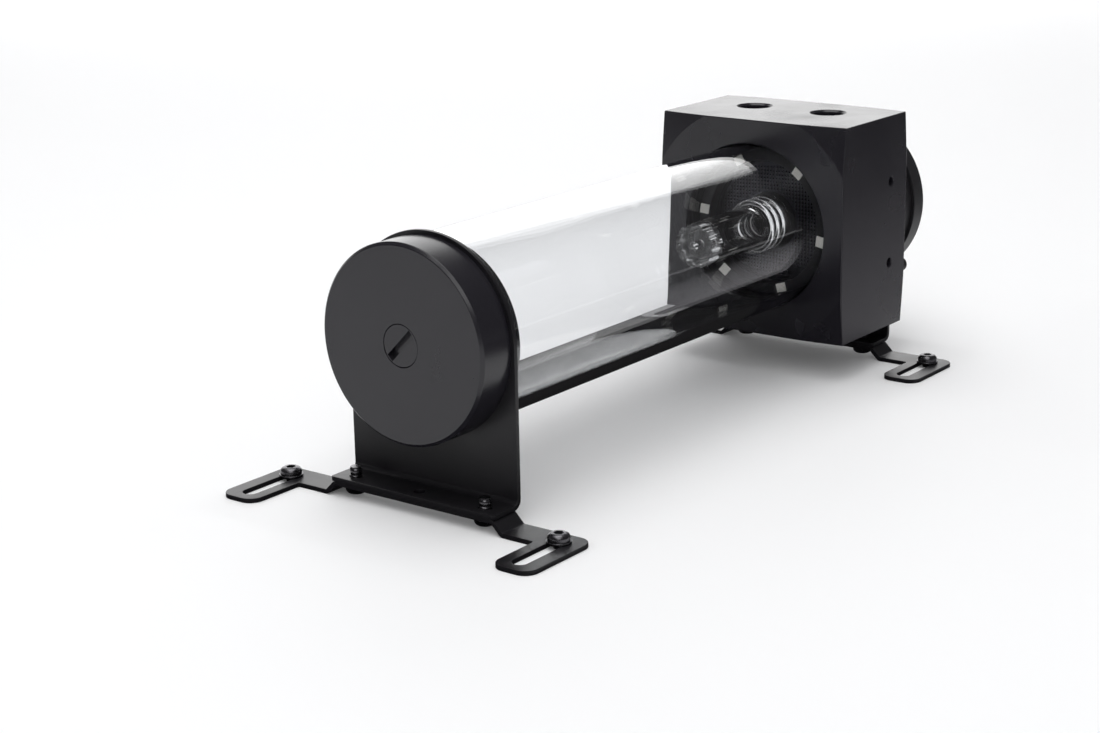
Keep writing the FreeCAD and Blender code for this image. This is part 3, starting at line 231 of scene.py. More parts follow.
def turning_marks_group() -> bpy.types.NodeTree:
    """Concentric tool marks round the tube axis.

    Returns:
        A group that puts out the height of the marks.
    """
    inputs = (("Pitch", "NodeSocketFloat", 0.0004), ("Wander", "NodeSocketFloat", 0.6))
    build = shader_group("turning_marks", inputs, (("Height", "NodeSocketFloat"),))
    start = build.node("NodeGroupInput")
    end = build.node("NodeGroupOutput")
    where = build.place()
    kind = "ShaderNodeVectorMath"
    centred = build.node(kind, {0: where, 1: (0.0, 0.0, AXIS_Z * MM)}, operation="SUBTRACT")
    flat = build.node(kind, {0: centred.outputs[0], 1: (0.0, 1.0, 1.0)}, operation="MULTIPLY")
    radius = build.node(kind, {0: flat.outputs[0]}, operation="LENGTH").outputs["Value"]
    wander = build.noise(where, 60.0, 2.0)
    turn = build.maths("DIVIDE", radius, start.outputs["Pitch"])
    shifted = build.maths("ADD", turn, build.maths("MULTIPLY", wander, start.outputs["Wander"]))
    values = {"Scale": 1.0, "Detail": 2.0, "W": shifted}
    rings = build.node("ShaderNodeTexNoise", values, noise_dimensions="1D")
    build.link(rings.outputs["Fac"], end.inputs[0])
    return build.tree


def smudge_group() -> bpy.types.NodeTree:
    """Faint handling marks that dull a smooth surface in patches.

    Returns:
        A group that puts out a mask.
    """
    inputs = (("Scale", "NodeSocketFloat", 55.0), ("Amount", "NodeSocketFloat", 1.0))
    build = shader_group("handling_smudges", inputs, (("Mask", "NodeSocketFloat"),))
    start = build.node("NodeGroupInput")
    end = build.node("NodeGroupOutput")
    patches = build.noise(build.place(), start.outputs["Scale"], 5.0)
    touched = build.ramp(patches, (0.5, 0.72))
    build.link(build.maths("MULTIPLY", touched, start.outputs["Amount"]), end.inputs[0])
    return build.tree


def dust_group() -> bpy.types.NodeTree:
    """Thin dust that settles on what faces up.

    Returns:
        A group that puts out a mask.
    """
    inputs = (("Amount", "NodeSocketFloat", 0.2),)
    build = shader_group("settled_dust", inputs, (("Mask", "NodeSocketFloat"),))
    start = build.node("NodeGroupInput")
    end = build.node("NodeGroupOutput")
    where = build.place()
    facing = build.node("ShaderNodeNewGeometry").outputs["Normal"]
    up = build.node("ShaderNodeSeparateXYZ", {0: facing}).outputs[2]
    lying = build.ramp(up, (0.3, 1.0))
    patches = build.noise(where, 120.0, 6.0)
    mask = build.maths("MULTIPLY", build.maths("MULTIPLY", lying, patches), start.outputs["Amount"])
    build.link(mask, end.inputs[0])
    return build.tree


class Effects:
    """The shader groups that more than one finish uses, each built once."""

    _made: dict[str, bpy.types.NodeTree] = {}
    _makers: dict[str, Callable[[], bpy.types.NodeTree]] = {
        "grain": surface_grain_group,
        "turning": turning_marks_group,
        "smudges": smudge_group,
        "dust": dust_group,
    }

    @classmethod
    def get(cls, name: str) -> bpy.types.NodeTree:
        """Return the group of that name, building it the first time."""
        if name not in cls._made:
            cls._made[name] = cls._makers[name]()
        return cls._made[name]

    @classmethod
    def lay(cls, build: TreeBuilder, name: str, values: dict | None = None) -> bpy.types.Node:
        """Place the group of that name in a material."""
        return build.node("ShaderNodeGroup", values, node_tree=cls.get(name))


# Finishes


DUST_COLOUR = (0.55, 0.54, 0.53, 1.0)
# How far the grain stands out of the surface, in metres
GRAIN_DEPTH = 0.0002


@dataclass(frozen=True)
class Finish:
    """A procedural surface: colour, gloss, grain, smudges and dust."""

    name: str
    colour: tuple[float, float, float]
    roughness: float = 0.4
    metallic: float = 0.0
    shift: float = 0.12
    rough_spread: float = 0.08
    fine_scale: float = 900.0
    broad_scale: float = 40.0
    bump: float = 0.05
    smudges: float = 0.0
    dust: float = 0.0
    turned: float = 0.0
    specular: float = 0.5
    coat: float = 0.0
    transmission: float = 0.0
    ior: float = 1.5
    # Emission in the finish's own colour: a painted glow, which only the light chips use
    glow: float = 0.0

    def material(self) -> bpy.types.Material:
        """Build the material the first time.

        Returns:
            The material of this finish.
        """
        label = f"dressed_{self.name}"
        known = bpy.data.materials.get(label)
        if known is not None:
            return known
        made = bpy.data.materials.new(label)
        made.use_nodes = True
        build = TreeBuilder(made.node_tree)
        shader = made.node_tree.nodes["Principled BSDF"]
        self.fixed_values(shader)
        scales = {"Fine Scale": self.fine_scale, "Broad Scale": self.broad_scale}
        grain = Effects.lay(build, "grain", scales)
        colour = self.surface_colour(build, grain)
        build.link(colour, shader.inputs["Base Color"])
        low = self.roughness - self.rough_spread
        high = self.roughness + self.rough_spread
        rough = build.ramp(grain.outputs["Broad"], (0.3, 0.7), (low, high))
        if self.smudges > 0:
            marks = Effects.lay(build, "smudges", {"Amount": self.smudges})
            rough = build.maths("ADD", rough, marks.outputs[0])
        build.link(rough, shader.inputs["Roughness"])
        self.surface_bump(build, grain, shader)
        return made

    def fixed_values(self, shader: bpy.types.Node) -> None:
        """Set what is the same all over the surface.

        Args:
            shader: The material's shader node.
        """
        shader.inputs["Metallic"].default_value = self.metallic
        shader.inputs["Specular IOR Level"].default_value = self.specular
        shader.inputs["Coat Weight"].default_value = self.coat
        shader.inputs["Transmission Weight"].default_value = self.transmission
        shader.inputs["IOR"].default_value = self.ior
        # Where glow is above 0 this paints a glow of the surface's own colour
        shader.inputs["Emission Color"].default_value = (*self.colour, 1.0)
        shader.inputs["Emission Strength"].default_value = self.glow

    def surface_colour(self, build: TreeBuilder, grain: bpy.types.Node) -> bpy.types.NodeSocket:
        """Mottle the base colour, then lay dust over it.

        Args:
            build: Builder of the material's tree.
            grain: The grain group in it.

        Returns:
            The colour of the surface.
        """
        dark = tuple(c * (1 - self.shift) for c in self.colour) + (1.0,)
        light = tuple(min(1.0, c * (1 + self.shift)) for c in self.colour) + (1.0,)
        colour = build.mixed(grain.outputs["Broad"], dark, light)
        if self.dust > 0:
            dust = Effects.lay(build, "dust", {"Amount": self.dust})
            colour = build.mixed(dust.outputs[0], colour, DUST_COLOUR)
        return colour

    def surface_bump(self, build: TreeBuilder, grain: bpy.types.Node, shader: bpy.types.Node) -> None:
        """Raise the grain and, on turned parts, the tool marks.

        Args:
            build: Builder of the material's tree.
            grain: The grain group in it.
            shader: The material's shader node.
        """
        height = grain.outputs["Fine"]
        if self.turned > 0:
            marks = Effects.lay(build, "turning")
            share = build.maths("MULTIPLY", marks.outputs[0], self.turned)
            height = build.maths("ADD", height, share)
        values = {"Strength": self.bump, "Distance": GRAIN_DEPTH, "Height": height}
        bump = build.node("ShaderNodeBump", values)
        build.link(bump.outputs[0], shader.inputs["Normal"])


ACETAL = Finish(
    "satin_acetal", (0.0125, 0.0115, 0.0155), roughness=0.24, rough_spread=0.03, bump=0.05, dust=0.012,
    smudges=0.05, specular=0.5,
)
TURNED_ACETAL = Finish(
    "turned_acetal", (0.0125, 0.0115, 0.0155), roughness=0.23, rough_spread=0.03, bump=0.05, dust=0.012,
    turned=1.6, smudges=0.05, specular=0.5,
)
COATED_SHEET = Finish(
    "black_coated_sheet", (0.0085, 0.0078, 0.0098), roughness=0.36, rough_spread=0.05, bump=0.08,
    fine_scale=500.0, dust=0.015, smudges=0.08, specular=0.38,
)
CLEAR_GLASS = Finish(
    "clear_glass", (0.975, 0.982, 0.99), roughness=0.0, rough_spread=0.0, shift=0.004, bump=0.004,
    fine_scale=18.0, broad_scale=8.0, transmission=1.0, ior=1.47,
)
CLEAR_PLASTIC = Finish(
    "clear_plastic", (0.985, 0.988, 0.992), roughness=0.0, rough_spread=0.0, shift=0.004, bump=0.004,
    fine_scale=60.0, broad_scale=20.0, transmission=1.0, ior=1.49,
)
DARK_STEEL = Finish(
    "dark_screw_steel", (0.13, 0.127, 0.135), roughness=0.28, metallic=1.0, shift=0.25, bump=0.05,
    fine_scale=1500.0, broad_scale=200.0,
)
BRIGHT_STEEL = Finish(
    "ground_steel", (0.6, 0.6, 0.61), roughness=0.28, metallic=1.0, shift=0.1, bump=0.05, fine_scale=1200.0,
)
SEAL_RUBBER = Finish(
    "seal_rubber", (0.012, 0.012, 0.0125), roughness=0.6, shift=0.2, bump=0.12, fine_scale=1400.0, dust=0.04,
)
MOULDED = Finish(
    "moulded_black_plastic", (0.013, 0.0125, 0.0145), roughness=0.44, rough_spread=0.06, bump=0.14,
    fine_scale=1600.0, dust=0.02,
)
ROTOR_PLASTIC = Finish("rotor_plastic", (0.06, 0.06, 0.065), roughness=0.42, bump=0.08)
WHITE_PLASTIC = Finish("white_plastic", (0.78, 0.78, 0.76), roughness=0.35, shift=0.04, bump=0.04, dust=0.03)
# glow=0.15 paints a faint glow in the chips' own colour: painted brightness, not the light of a working lamp
CHIP = Finish("light_chip", (0.88, 0.87, 0.82), roughness=0.3, shift=0.05, bump=0.03, glow=0.15)
BOARD = Finish("circuit_board", (0.02, 0.12, 0.05), roughness=0.35, shift=0.25, broad_scale=400.0, bump=0.1)
COPPER = Finish("enamelled_copper", (0.62, 0.27, 0.13), roughness=0.3, metallic=1.0, shift=0.2, bump=0.1)
FERRITE = Finish("sintered_magnet", (0.06, 0.06, 0.065), roughness=0.5, metallic=0.6, shift=0.2, bump=0.2)
SIEVE_STEEL = Finish(
    "sieve_steel", (0.05, 0.05, 0.056), roughness=0.32, metallic=1.0, shift=0.15, bump=0.05,
    fine_scale=1500.0,
)
THREAD_SHADE = Finish("tapped_thread", (0.012, 0.0115, 0.014), roughness=0.26, bump=0.04)

NODE_FINISHES: dict[str, Finish] = {
    "front_bridge_plate": COATED_SHEET,
    "rear_bridge_plate": COATED_SHEET,
    "front_bracket": COATED_SHEET,
    "rear_bracket": COATED_SHEET,
    "reservoir_tube": CLEAR_GLASS,
    "end_cap": TURNED_ACETAL,
    "cap_o_ring": SEAL_RUBBER,
    "fill_plug": TURNED_ACETAL,
    "fill_plug_o_ring": SEAL_RUBBER,
    "pump_top_block": ACETAL,
    "block_o_ring": SEAL_RUBBER,
    "riser_tube": CLEAR_PLASTIC,
    "riser_diffuser": CLEAR_PLASTIC,
    "suction_strainer": SIEVE_STEEL,
    "led_ring": MOULDED,
    "led_chips": CHIP,
    "pump_housing": MOULDED,
    "pump_o_ring": SEAL_RUBBER,
    "stator_core": BRIGHT_STEEL,
    "stator_coils": COPPER,
    "pump_rear_cover": MOULDED,
    "controller_board": BOARD,
    "speed_potentiometer": WHITE_PLASTIC,
    "speed_dial": WHITE_PLASTIC,
    "pump_cable_grommet": SEAL_RUBBER,
    "led_cable_grommet": SEAL_RUBBER,
    "impeller": ROTOR_PLASTIC,
    "rotor_magnet": FERRITE,
    "bearing_cup": WHITE_PLASTIC,
    "bearing_post": BRIGHT_STEEL,
    "front_bracket_screws": DARK_STEEL,
    "rear_bracket_screws": DARK_STEEL,
    "front_slot_screws": DARK_STEEL,
    "front_slot_washers": DARK_STEEL,
    "rear_slot_screws": DARK_STEEL,
    "rear_slot_washers": DARK_STEEL,
    "pump_screws": DARK_STEEL,
}


# Meshes


def link_mesh(name: str, mesh: bpy.types.Mesh) -> bpy.types.Object:
    """Put a mesh in the scene as an object at the origin."""
    made = bpy.data.objects.new(name, mesh)
    bpy.context.scene.collection.objects.link(made)
    return made


def settled(obj: bpy.types.Object) -> bpy.types.Object:
    """Turn an object with modifiers into one with a plain mesh.

    Args:
        obj: The object, which is removed.

    Returns:
        A new object of the same name.
    """
    graph = bpy.context.evaluated_depsgraph_get()
    final = obj.evaluated_get(graph)
    mesh = bpy.data.meshes.new_from_object(final, preserve_all_data_layers=True, depsgraph=graph)
    name = obj.name
    bpy.data.objects.remove(obj)
    made = link_mesh(name, mesh)
    made.name = name
    return made


def shaded(obj: bpy.types.Object, angle: float = 35.0, weighted: bool = True) -> bpy.types.Object:
    """Shade smooth below an angle, with flat faces kept flat.

    Args:
        obj: The object to shade.
        angle: Edges sharper than this many degrees stay sharp.
        weighted: Weight the normals by face area.

    Returns:
        The object, with a plain mesh.
    """
    obj.data.shade_smooth()
    obj.data.set_sharp_from_angle(angle=math.radians(angle))
    if not weighted:
        return obj
    weigh = obj.modifiers.new("weigh", "WEIGHTED_NORMAL")
    weigh.keep_sharp = True
    weigh.weight = 100
    return settled(obj)


def softened(outline: Sequence[Point2], radius: float, steps: int = 3) -> list[Point2]:
    """Round every corner of a closed outline by a small radius.

    Args:
        outline: The corners in order.
        radius: The radius, made smaller where an edge is short.
        steps: Points on each rounded corner, less one.

    Returns:
        The outline with each corner replaced by an arc.
    """
    result: list[Point2] = []
    count = len(outline)
    for index in range(count):
        here = Vector(outline[index])
        back = Vector(outline[index - 1]) - here
        ahead = Vector(outline[(index + 1) % count]) - here
        reach = min(radius, back.length * 0.42, ahead.length * 0.42)
        if here.y < 1e-6 or reach < 1e-4:
            result.append((here.x, here.y))
            continue
        start = here + back.normalized() * reach
        end = here + ahead.normalized() * reach
        for step in range(steps + 1):
            t = step / steps
            spot = start * (1 - t) ** 2 + here * (2 * t * (1 - t)) + end * t ** 2
            result.append((spot.x, spot.y))
    return result


def lathe(name: str, outline: Sequence[Point2], steps: int = 192, soft: float = 0.15) -> bpy.types.Object:
    """Turn a closed outline about the tube axis.

    Args:
        name: The object's name.
        outline: Pairs of X and radius in millimetres; a radius of 0 is a pole.
        steps: Number of flats round the axis.
        soft: Radius that rounds the outline's corners.

    Returns:
        A closed, smoothly shaded object.
    """
    points = softened(outline, soft) if soft > 0 else list(outline)
    work = bmesh.new()
    rings: list[list[bmesh.types.BMVert]] = []
    for x, radius in points:
        if radius < 1e-6:
            rings.append([work.verts.new((x * MM, 0.0, AXIS_Z * MM))])
            continue
        ring = []
        for step in range(steps):
            angle = 2 * math.pi * step / steps
            spot = (x * MM, radius * MM * math.cos(angle), (AXIS_Z + radius * math.sin(angle)) * MM)
            ring.append(work.verts.new(spot))
        rings.append(ring)
    for index, ring in enumerate(rings):
        after = rings[(index + 1) % len(rings)]
        if len(ring) == 1 and len(after) == 1:
            continue
        for step in range(steps):
            far = (step + 1) % steps
            near_side = (ring[step % len(ring)], after[step % len(after)])
            far_side = (after[far % len(after)], ring[far % len(ring)])
            work.faces.new(list(dict.fromkeys(near_side + far_side)))
    bmesh.ops.recalc_face_normals(work, faces=work.faces)
    mesh = bpy.data.meshes.new(name)
    work.to_mesh(mesh)
    work.free()
    return link_mesh(name, mesh)


def box_mesh(name: str, low: Sequence[float], high: Sequence[float]) -> bpy.types.Object:
    """Box as a blank or a cutter.

    Args:
        name: The object's name.
        low: Its lowest corner in millimetres.
        high: Its highest corner in millimetres.

    Returns:
        The box object.
    """
    work = bmesh.new()
    bmesh.ops.create_cube(work, size=1.0)
    low_corner = Vector(low) * MM
    high_corner = Vector(high) * MM
    span = high_corner - low_corner
    scale = Matrix.Diagonal((span.x, span.y, span.z, 1.0))
    work.transform(Matrix.Translation((low_corner + high_corner) / 2) @ scale)
    mesh = bpy.data.meshes.new(name)
    work.to_mesh(mesh)
    work.free()
    return link_mesh(name, mesh)


def turned_cutter(
    name: str, outline: Sequence[Point2], base: Vector, way: Vector, steps: int = 96
) -> bpy.types.Object:
    """Round cutter along any direction.

    Args:
        name: The cutter's name.
        outline: Pairs of distance along the way and radius in millimetres.
        base: Where the distance is 0, in millimetres.
        way: Direction of the cutter's axis.
        steps: Number of flats.

    Returns:
        The cutter object.
    """
    cutter = lathe(name, outline, steps=steps, soft=0.0)
    turn = Vector((1, 0, 0)).rotation_difference(way.normalized()).to_matrix().to_4x4()
    home = Matrix.Translation((0.0, 0.0, -AXIS_Z * MM))
    cutter.data.transform(Matrix.Translation(base * MM) @ turn @ home)
    return cutter


def carved(
    base: bpy.types.Object, tools: Iterable[bpy.types.Object], kind: str = "DIFFERENCE"
) -> bpy.types.Object:
    """Cut tools from a piece, or keep what both hold, and remove the tools.

    Args:
        base: The piece, which is removed.
        tools: The cutters, which are removed.
        kind: DIFFERENCE to cut, INTERSECT to keep what both hold.

    Returns:
        A new object of the same name.
    """
    used = list(tools)
    for number, tool in enumerate(used):
        step = base.modifiers.new(f"carve_{number}", "BOOLEAN")
        step.operation = kind
        step.solver = "EXACT"
        step.object = tool
    made = settled(base)
    for tool in used:
        bpy.data.objects.remove(tool)
    return made


def bevelled(obj: bpy.types.Object, width: float, angle: float = 40.0, segments: int = 3) -> bpy.types.Object:
    """Round the sharp edges of a piece.

    Args:
        obj: The piece, which is removed.
        width: Width of the rounding in millimetres.
        angle: Edges sharper than this many degrees are rounded.
        segments: Faces across each rounding.

    Returns:
        A new object of the same name.
    """
    edge = obj.modifiers.new("edges", "BEVEL")
    edge.width = width * MM
    edge.segments = segments
    edge.limit_method = "ANGLE"
    edge.angle_limit = math.radians(angle)
    edge.use_clamp_overlap = True
    return settled(obj)


def finished(
    obj: bpy.types.Object, finish: Finish, body: Body, replaces: Sequence[str] = ()
) -> bpy.types.Object:
    """Give a piece its finish, its body and the nodes it stands for.

    Args:
        obj: The finished mesh object.
        finish: Its surface.
        body: The body that it moves with.
        replaces: CAD nodes that it stands for.

    Returns:
        The same object.
    """
    obj.data.materials.clear()
    obj.data.materials.append(finish.material())
    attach(obj, body.value)
    if replaces:
        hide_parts(*replaces)
    log.info("%s: %d faces on %s", obj.name, len(obj.data.polygons), body.value)
    return obj


# Sheet metal


def corner_arc(before: Vector, here: Vector, after: Vector, radius: float, steps: int) -> list[Vector]:
    """Arc that rounds one corner of a line.

    Args:
        before: The point before the corner.
        here: The corner.
        after: The point after the corner.
        radius: The arc's radius.
        steps: Flats on the arc.

    Returns:
        The arc's points in the line's order.
    """
    back = (before - here).normalized()
    ahead = (after - here).normalized()
    half = back.angle(ahead) / 2
    reach = radius / math.tan(half)
    centre = here + (back + ahead).normalized() * (radius / math.sin(half))
    start = here + back * reach - centre
    sweep = start.angle_signed(here + ahead * reach - centre)
    return [Matrix.Rotation(-sweep * step / steps, 2) @ start + centre for step in range(steps + 1)]


def rounded_corners(corners: Sequence[Corner], steps: int = 8) -> list[Point2]:
    """Outline with true arcs at its corners.

    Args:
        corners: X, Y and corner radius of each corner.
        steps: Flats on each arc.

    Returns:
        The points of the outline.
    """
    points: list[Point2] = []
    count = len(corners)
    for index, (x, y, radius) in enumerate(corners):
        if radius <= 0:
            points.append((x, y))
            continue
        before = Vector(corners[index - 1][:2])
        after = Vector(corners[(index + 1) % count][:2])
        points += [(spot.x, spot.y) for spot in corner_arc(before, Vector((x, y)), after, radius, steps)]
    return points


def round_hole(x: float, y: float, radius: float, steps: int = 64) -> list[Point2]:
    """Points of a round hole."""
    turns = [2 * math.pi * step / steps for step in range(steps)]
    return [(x + radius * math.cos(t), y + radius * math.sin(t)) for t in turns]


def slot_hole(x: float, y: float, length: float, width: float, steps: int = 20) -> list[Point2]:
    """Points of a slot along the outline's first direction.

    Args:
        x: First coordinate of its centre.
        y: Second coordinate of its centre.
        length: Its length, the round ends included.
        width: Its width.
        steps: Flats on each round end.

    Returns:
        The points of the outline.
    """
    points: list[Point2] = []
    reach = (length - width) / 2
    for sign, start in ((1, -90), (-1, 90)):
        for step in range(steps + 1):
            angle = math.radians(start + 180 * step / steps)
            points.append((x + sign * reach + width / 2 * math.cos(angle), y + width / 2 * math.sin(angle)))
    return points


@dataclass
class BendPath:
    """Middle line of a bent sheet, straight runs joined by arcs."""

    corners: Sequence[Point2]
    radius: float
    steps: int = 8

    def points(self) -> list[Vector]:
        """Round each inner corner.

        Returns:
            The path's points.
        """
        spots = [Vector(corner) for corner in self.corners]
        line = spots[:1]
        for before, here, after in zip(spots, spots[1:], spots[2:]):
            line += corner_arc(before, here, after, self.radius, self.steps)
        return line + spots[-1:]

    def stations(self) -> list[float]:
        """Measure along the path.

        Returns:
            Distance of each of its points from its start.
        """
        line = self.points()
        found = [0.0]
        for first, second in zip(line, line[1:]):
            found.append(found[-1] + (second - first).length)
        return found

    def at(self, distance: float) -> tuple[Vector, Vector]:
        """Place and upward normal at a distance along the path.

        Args:
            distance: Distance from the path's start.

        Returns:
            The place and the unit normal, left of the way forward.
        """
        line = self.points()
        marks = self.stations()
        for index in range(len(line) - 1):
            if distance <= marks[index + 1] + 1e-9 or index == len(line) - 2:
                way = (line[index + 1] - line[index]).normalized()
                return line[index] + way * (distance - marks[index]), Vector((-way.y, way.x))
        raise ValueError("the path has no points")

    def distance_at(self, first: float, upright: bool = False) -> float:
        """Find where a coordinate of the path has a value.

        Args:
            first: The value.
            upright: Look at the second coordinate instead of the first.

        Returns:
            Distance of that place from the path's start.
        """
        line = self.points()
        marks = self.stations()
        pick = 1 if upright else 0
        for index in range(len(line) - 1):
            low, high = line[index][pick], line[index + 1][pick]
            if min(low, high) - 1e-6 <= first <= max(low, high) + 1e-6 and abs(high - low) > 1e-9:
                return marks[index] + (first - low) / (high - low) * (marks[index + 1] - marks[index])
        raise ValueError("the path never gets there")


@dataclass
class BentSheet:
    """Sheet part cut flat, with its edges broken, then bent along a path."""

    name: str
    outline: Sequence[Point2]
    holes: Sequence[Sequence[Point2]]
    path: BendPath
    thickness: float = SHEET_T
    edge: float = 0.18

    def flat(self) -> bpy.types.Object:
        """Cut the flat blank: first coordinate across, second along the path.

        Returns:
            The blank, with its middle plane at Z 0.
        """
        curve = bpy.data.curves.new(self.name + "_blank", "CURVE")
        curve.dimensions = "2D"
        curve.fill_mode = "BOTH"
        for ring in (self.outline, *self.holes):
            spline = curve.splines.new("POLY")
            spline.points.add(len(ring) - 1)
            for point, (x, y) in zip(spline.points, ring):
                point.co = (x * MM, y * MM, 0.0, 1.0)
            spline.use_cyclic_u = True
        curve.extrude = (self.thickness / 2 - self.edge) * MM
        curve.bevel_depth = self.edge * MM
        curve.bevel_resolution = 1
        curve.offset = -self.edge * MM
        blank = bpy.data.objects.new(self.name, curve)
        bpy.context.scene.collection.objects.link(blank)
        return settled(blank)

    def bent(self, place: Callable[[float, Vector], Vector]) -> bpy.types.Object:
        """Bend the blank along the path.

        Args:
            place: Turns the coordinate across and the point on the path into the frame's place.

        Returns:
            The bent object.
        """
        sheet = self.flat()
        work = bmesh.new()
        work.from_mesh(sheet.data)
        bmesh.ops.remove_doubles(work, verts=work.verts, dist=1e-7)
        for station in self.path.stations()[1:-1]:
            everything = work.verts[:] + work.edges[:] + work.faces[:]
            spot = (0.0, station * MM, 0.0)
            bmesh.ops.bisect_plane(work, geom=everything, dist=1e-7, plane_co=spot, plane_no=(0.0, 1.0, 0.0))
        for vert in work.verts:
            spot, normal = self.path.at(vert.co.y / MM)
            vert.co = place(vert.co.x / MM, spot + normal * (vert.co.z / MM)) * MM
        bmesh.ops.recalc_face_normals(work, faces=work.faces)
        work.to_mesh(sheet.data)
        work.free()
        return shaded(sheet, 30.0)


@dataclass
class BridgePlate:
    """Slotted plate with two flat ears and a raised strip between them."""

    side: Side
    ear_half: float = 15.5
    ear_outer: float = 60.0
    ear_inner: float = 46.0
    strip_front: float = 5.0
    corner: float = 4.5
    slot_y: float = SLOT_Y
    slot_length: float = 24.0
    slot_width: float = 5.0
    rise: float = 3.5
    bridge_half: float = 30.5
    thickness: float = SHEET_T
    screw_x: float = 9.0
    screw_y: float = FOOT_SCREW_Y
    screw_hole: float = SCREW_HOLE_R
    strip_corner: float = 0.6
    bend: float = 1.6
    ramp_angle: float = 45.0

    def path(self) -> BendPath:
        """Middle line of the sheet.

        Returns:
            The path from one ear over the bridge to the other.
        """
        shift = self.thickness / 2 * math.tan(math.radians(self.ramp_angle / 2))
        foot = self.bridge_half + self.rise + shift
        top = self.bridge_half + shift
        low = self.thickness / 2
        high = low + self.rise
        out = self.ear_outer
        corners = ((-out, low), (-foot, low), (-top, high), (top, high), (foot, low), (out, low))
        return BendPath(corners, self.bend)

    def build(self) -> bpy.types.Object:
        """Make the plate in place of its CAD node.

        Returns:
            The plate.
        """
        path = self.path()
        places = (-self.ear_outer, -self.ear_inner, self.ear_inner, self.ear_outer)
        ends = [path.distance_at(place) for place in places]
        low, high, front = -self.ear_half, self.ear_half, self.strip_front
        r, inner_r = self.corner, self.strip_corner
        corners = (
            (high, ends[0], r), (high, ends[3], r), (low, ends[3], r), (low, ends[2], r),
            (front, ends[2], inner_r), (front, ends[1], inner_r), (low, ends[1], r), (low, ends[0], r),
        )
        slots = [path.distance_at(sign * self.slot_y) for sign in (-1, 1)]
        holes = [slot_hole(0.0, along, self.slot_length, self.slot_width) for along in slots]
        for sign in (-1, 1):
            holes.append(round_hole(self.screw_x, path.distance_at(sign * self.screw_y), self.screw_hole, 32))
        name = f"{self.side.value}_slotted_plate"
        sheet = BentSheet(name, rounded_corners(corners), holes, path, self.thickness)

        def place(across: float, spot: Vector) -> Vector:
            """Lay the blank's width along X."""
            return Vector((self.side.slot_x + across, spot.x, spot.y))

        made = sheet.bent(place)
        return finished(made, COATED_SHEET, Body.RESERVOIR, [f"{self.side.value}_bridge_plate"])


@dataclass
class AngleBracket:
    """Bracket bent from one sheet: foot forwards, upright with a round top and a hole."""

    side: Side
    width: float = 64.0
    thickness: float = SHEET_T
    foot_length: float = 13.0
    foot_z: float = FOOT_Z
    bend_outer: float = 3.0
    hole_r: float = 27.05
    screw_setback: float = FOOT_SCREW_SETBACK
    screw_half: float = FOOT_SCREW_Y
    screw_hole: float = SCREW_HOLE_R
    middle_hole: float = 1.8
    pump_screw_half: float = PUMP_SCREW_HALF
    tip_corner: float = 1.2
    crown_steps: int = 96

    def build(self) -> bpy.types.Object:
        """Make the bracket in place of its CAD node.

        Returns:
            The bracket.
        """
        mid = self.thickness / 2
        front = self.side.plate_x
        rear = front + self.thickness
        tip = rear - self.foot_length
        low = self.foot_z + mid
        corners = ((tip, low), (rear - mid, low), (rear - mid, AXIS_Z + self.width))
        path = BendPath(corners, self.bend_outer - mid)
        axis = path.distance_at(AXIS_Z, upright=True)
        screw = front - self.screw_setback - tip
        half = self.width / 2
        outline = [(half, 0.0), (half, axis)]
        for step in range(1, self.crown_steps):
            turn = math.pi * step / self.crown_steps
            outline.append((half * math.cos(turn), axis + half * math.sin(turn)))
        outline += [(-half, axis), (-half, 0.0)]
        corner_r = [(x, y, self.tip_corner if y == 0.0 else 0.0) for x, y in outline]
        holes = [round_hole(0.0, axis, self.hole_r, 160), round_hole(0.0, screw, self.middle_hole, 32)]
        for sign in (-1, 1):
            holes.append(round_hole(sign * self.screw_half, screw, self.screw_hole, 32))
            if self.side is Side.REAR:
                low = axis - self.pump_screw_half
                holes.append(round_hole(sign * self.pump_screw_half, low, self.screw_hole, 32))
        name = f"{self.side.value}_angle_bracket"
        sheet = BentSheet(name, rounded_corners(corner_r), holes, path, self.thickness)

        def place(across: float, spot: Vector) -> Vector:
            """Lay the blank's width against Y."""
            return Vector((spot.x, -across, spot.y))

        made = sheet.bent(place)
        return finished(made, COATED_SHEET, Body.RESERVOIR, [f"{self.side.value}_bracket"])


# Geometry Nodes


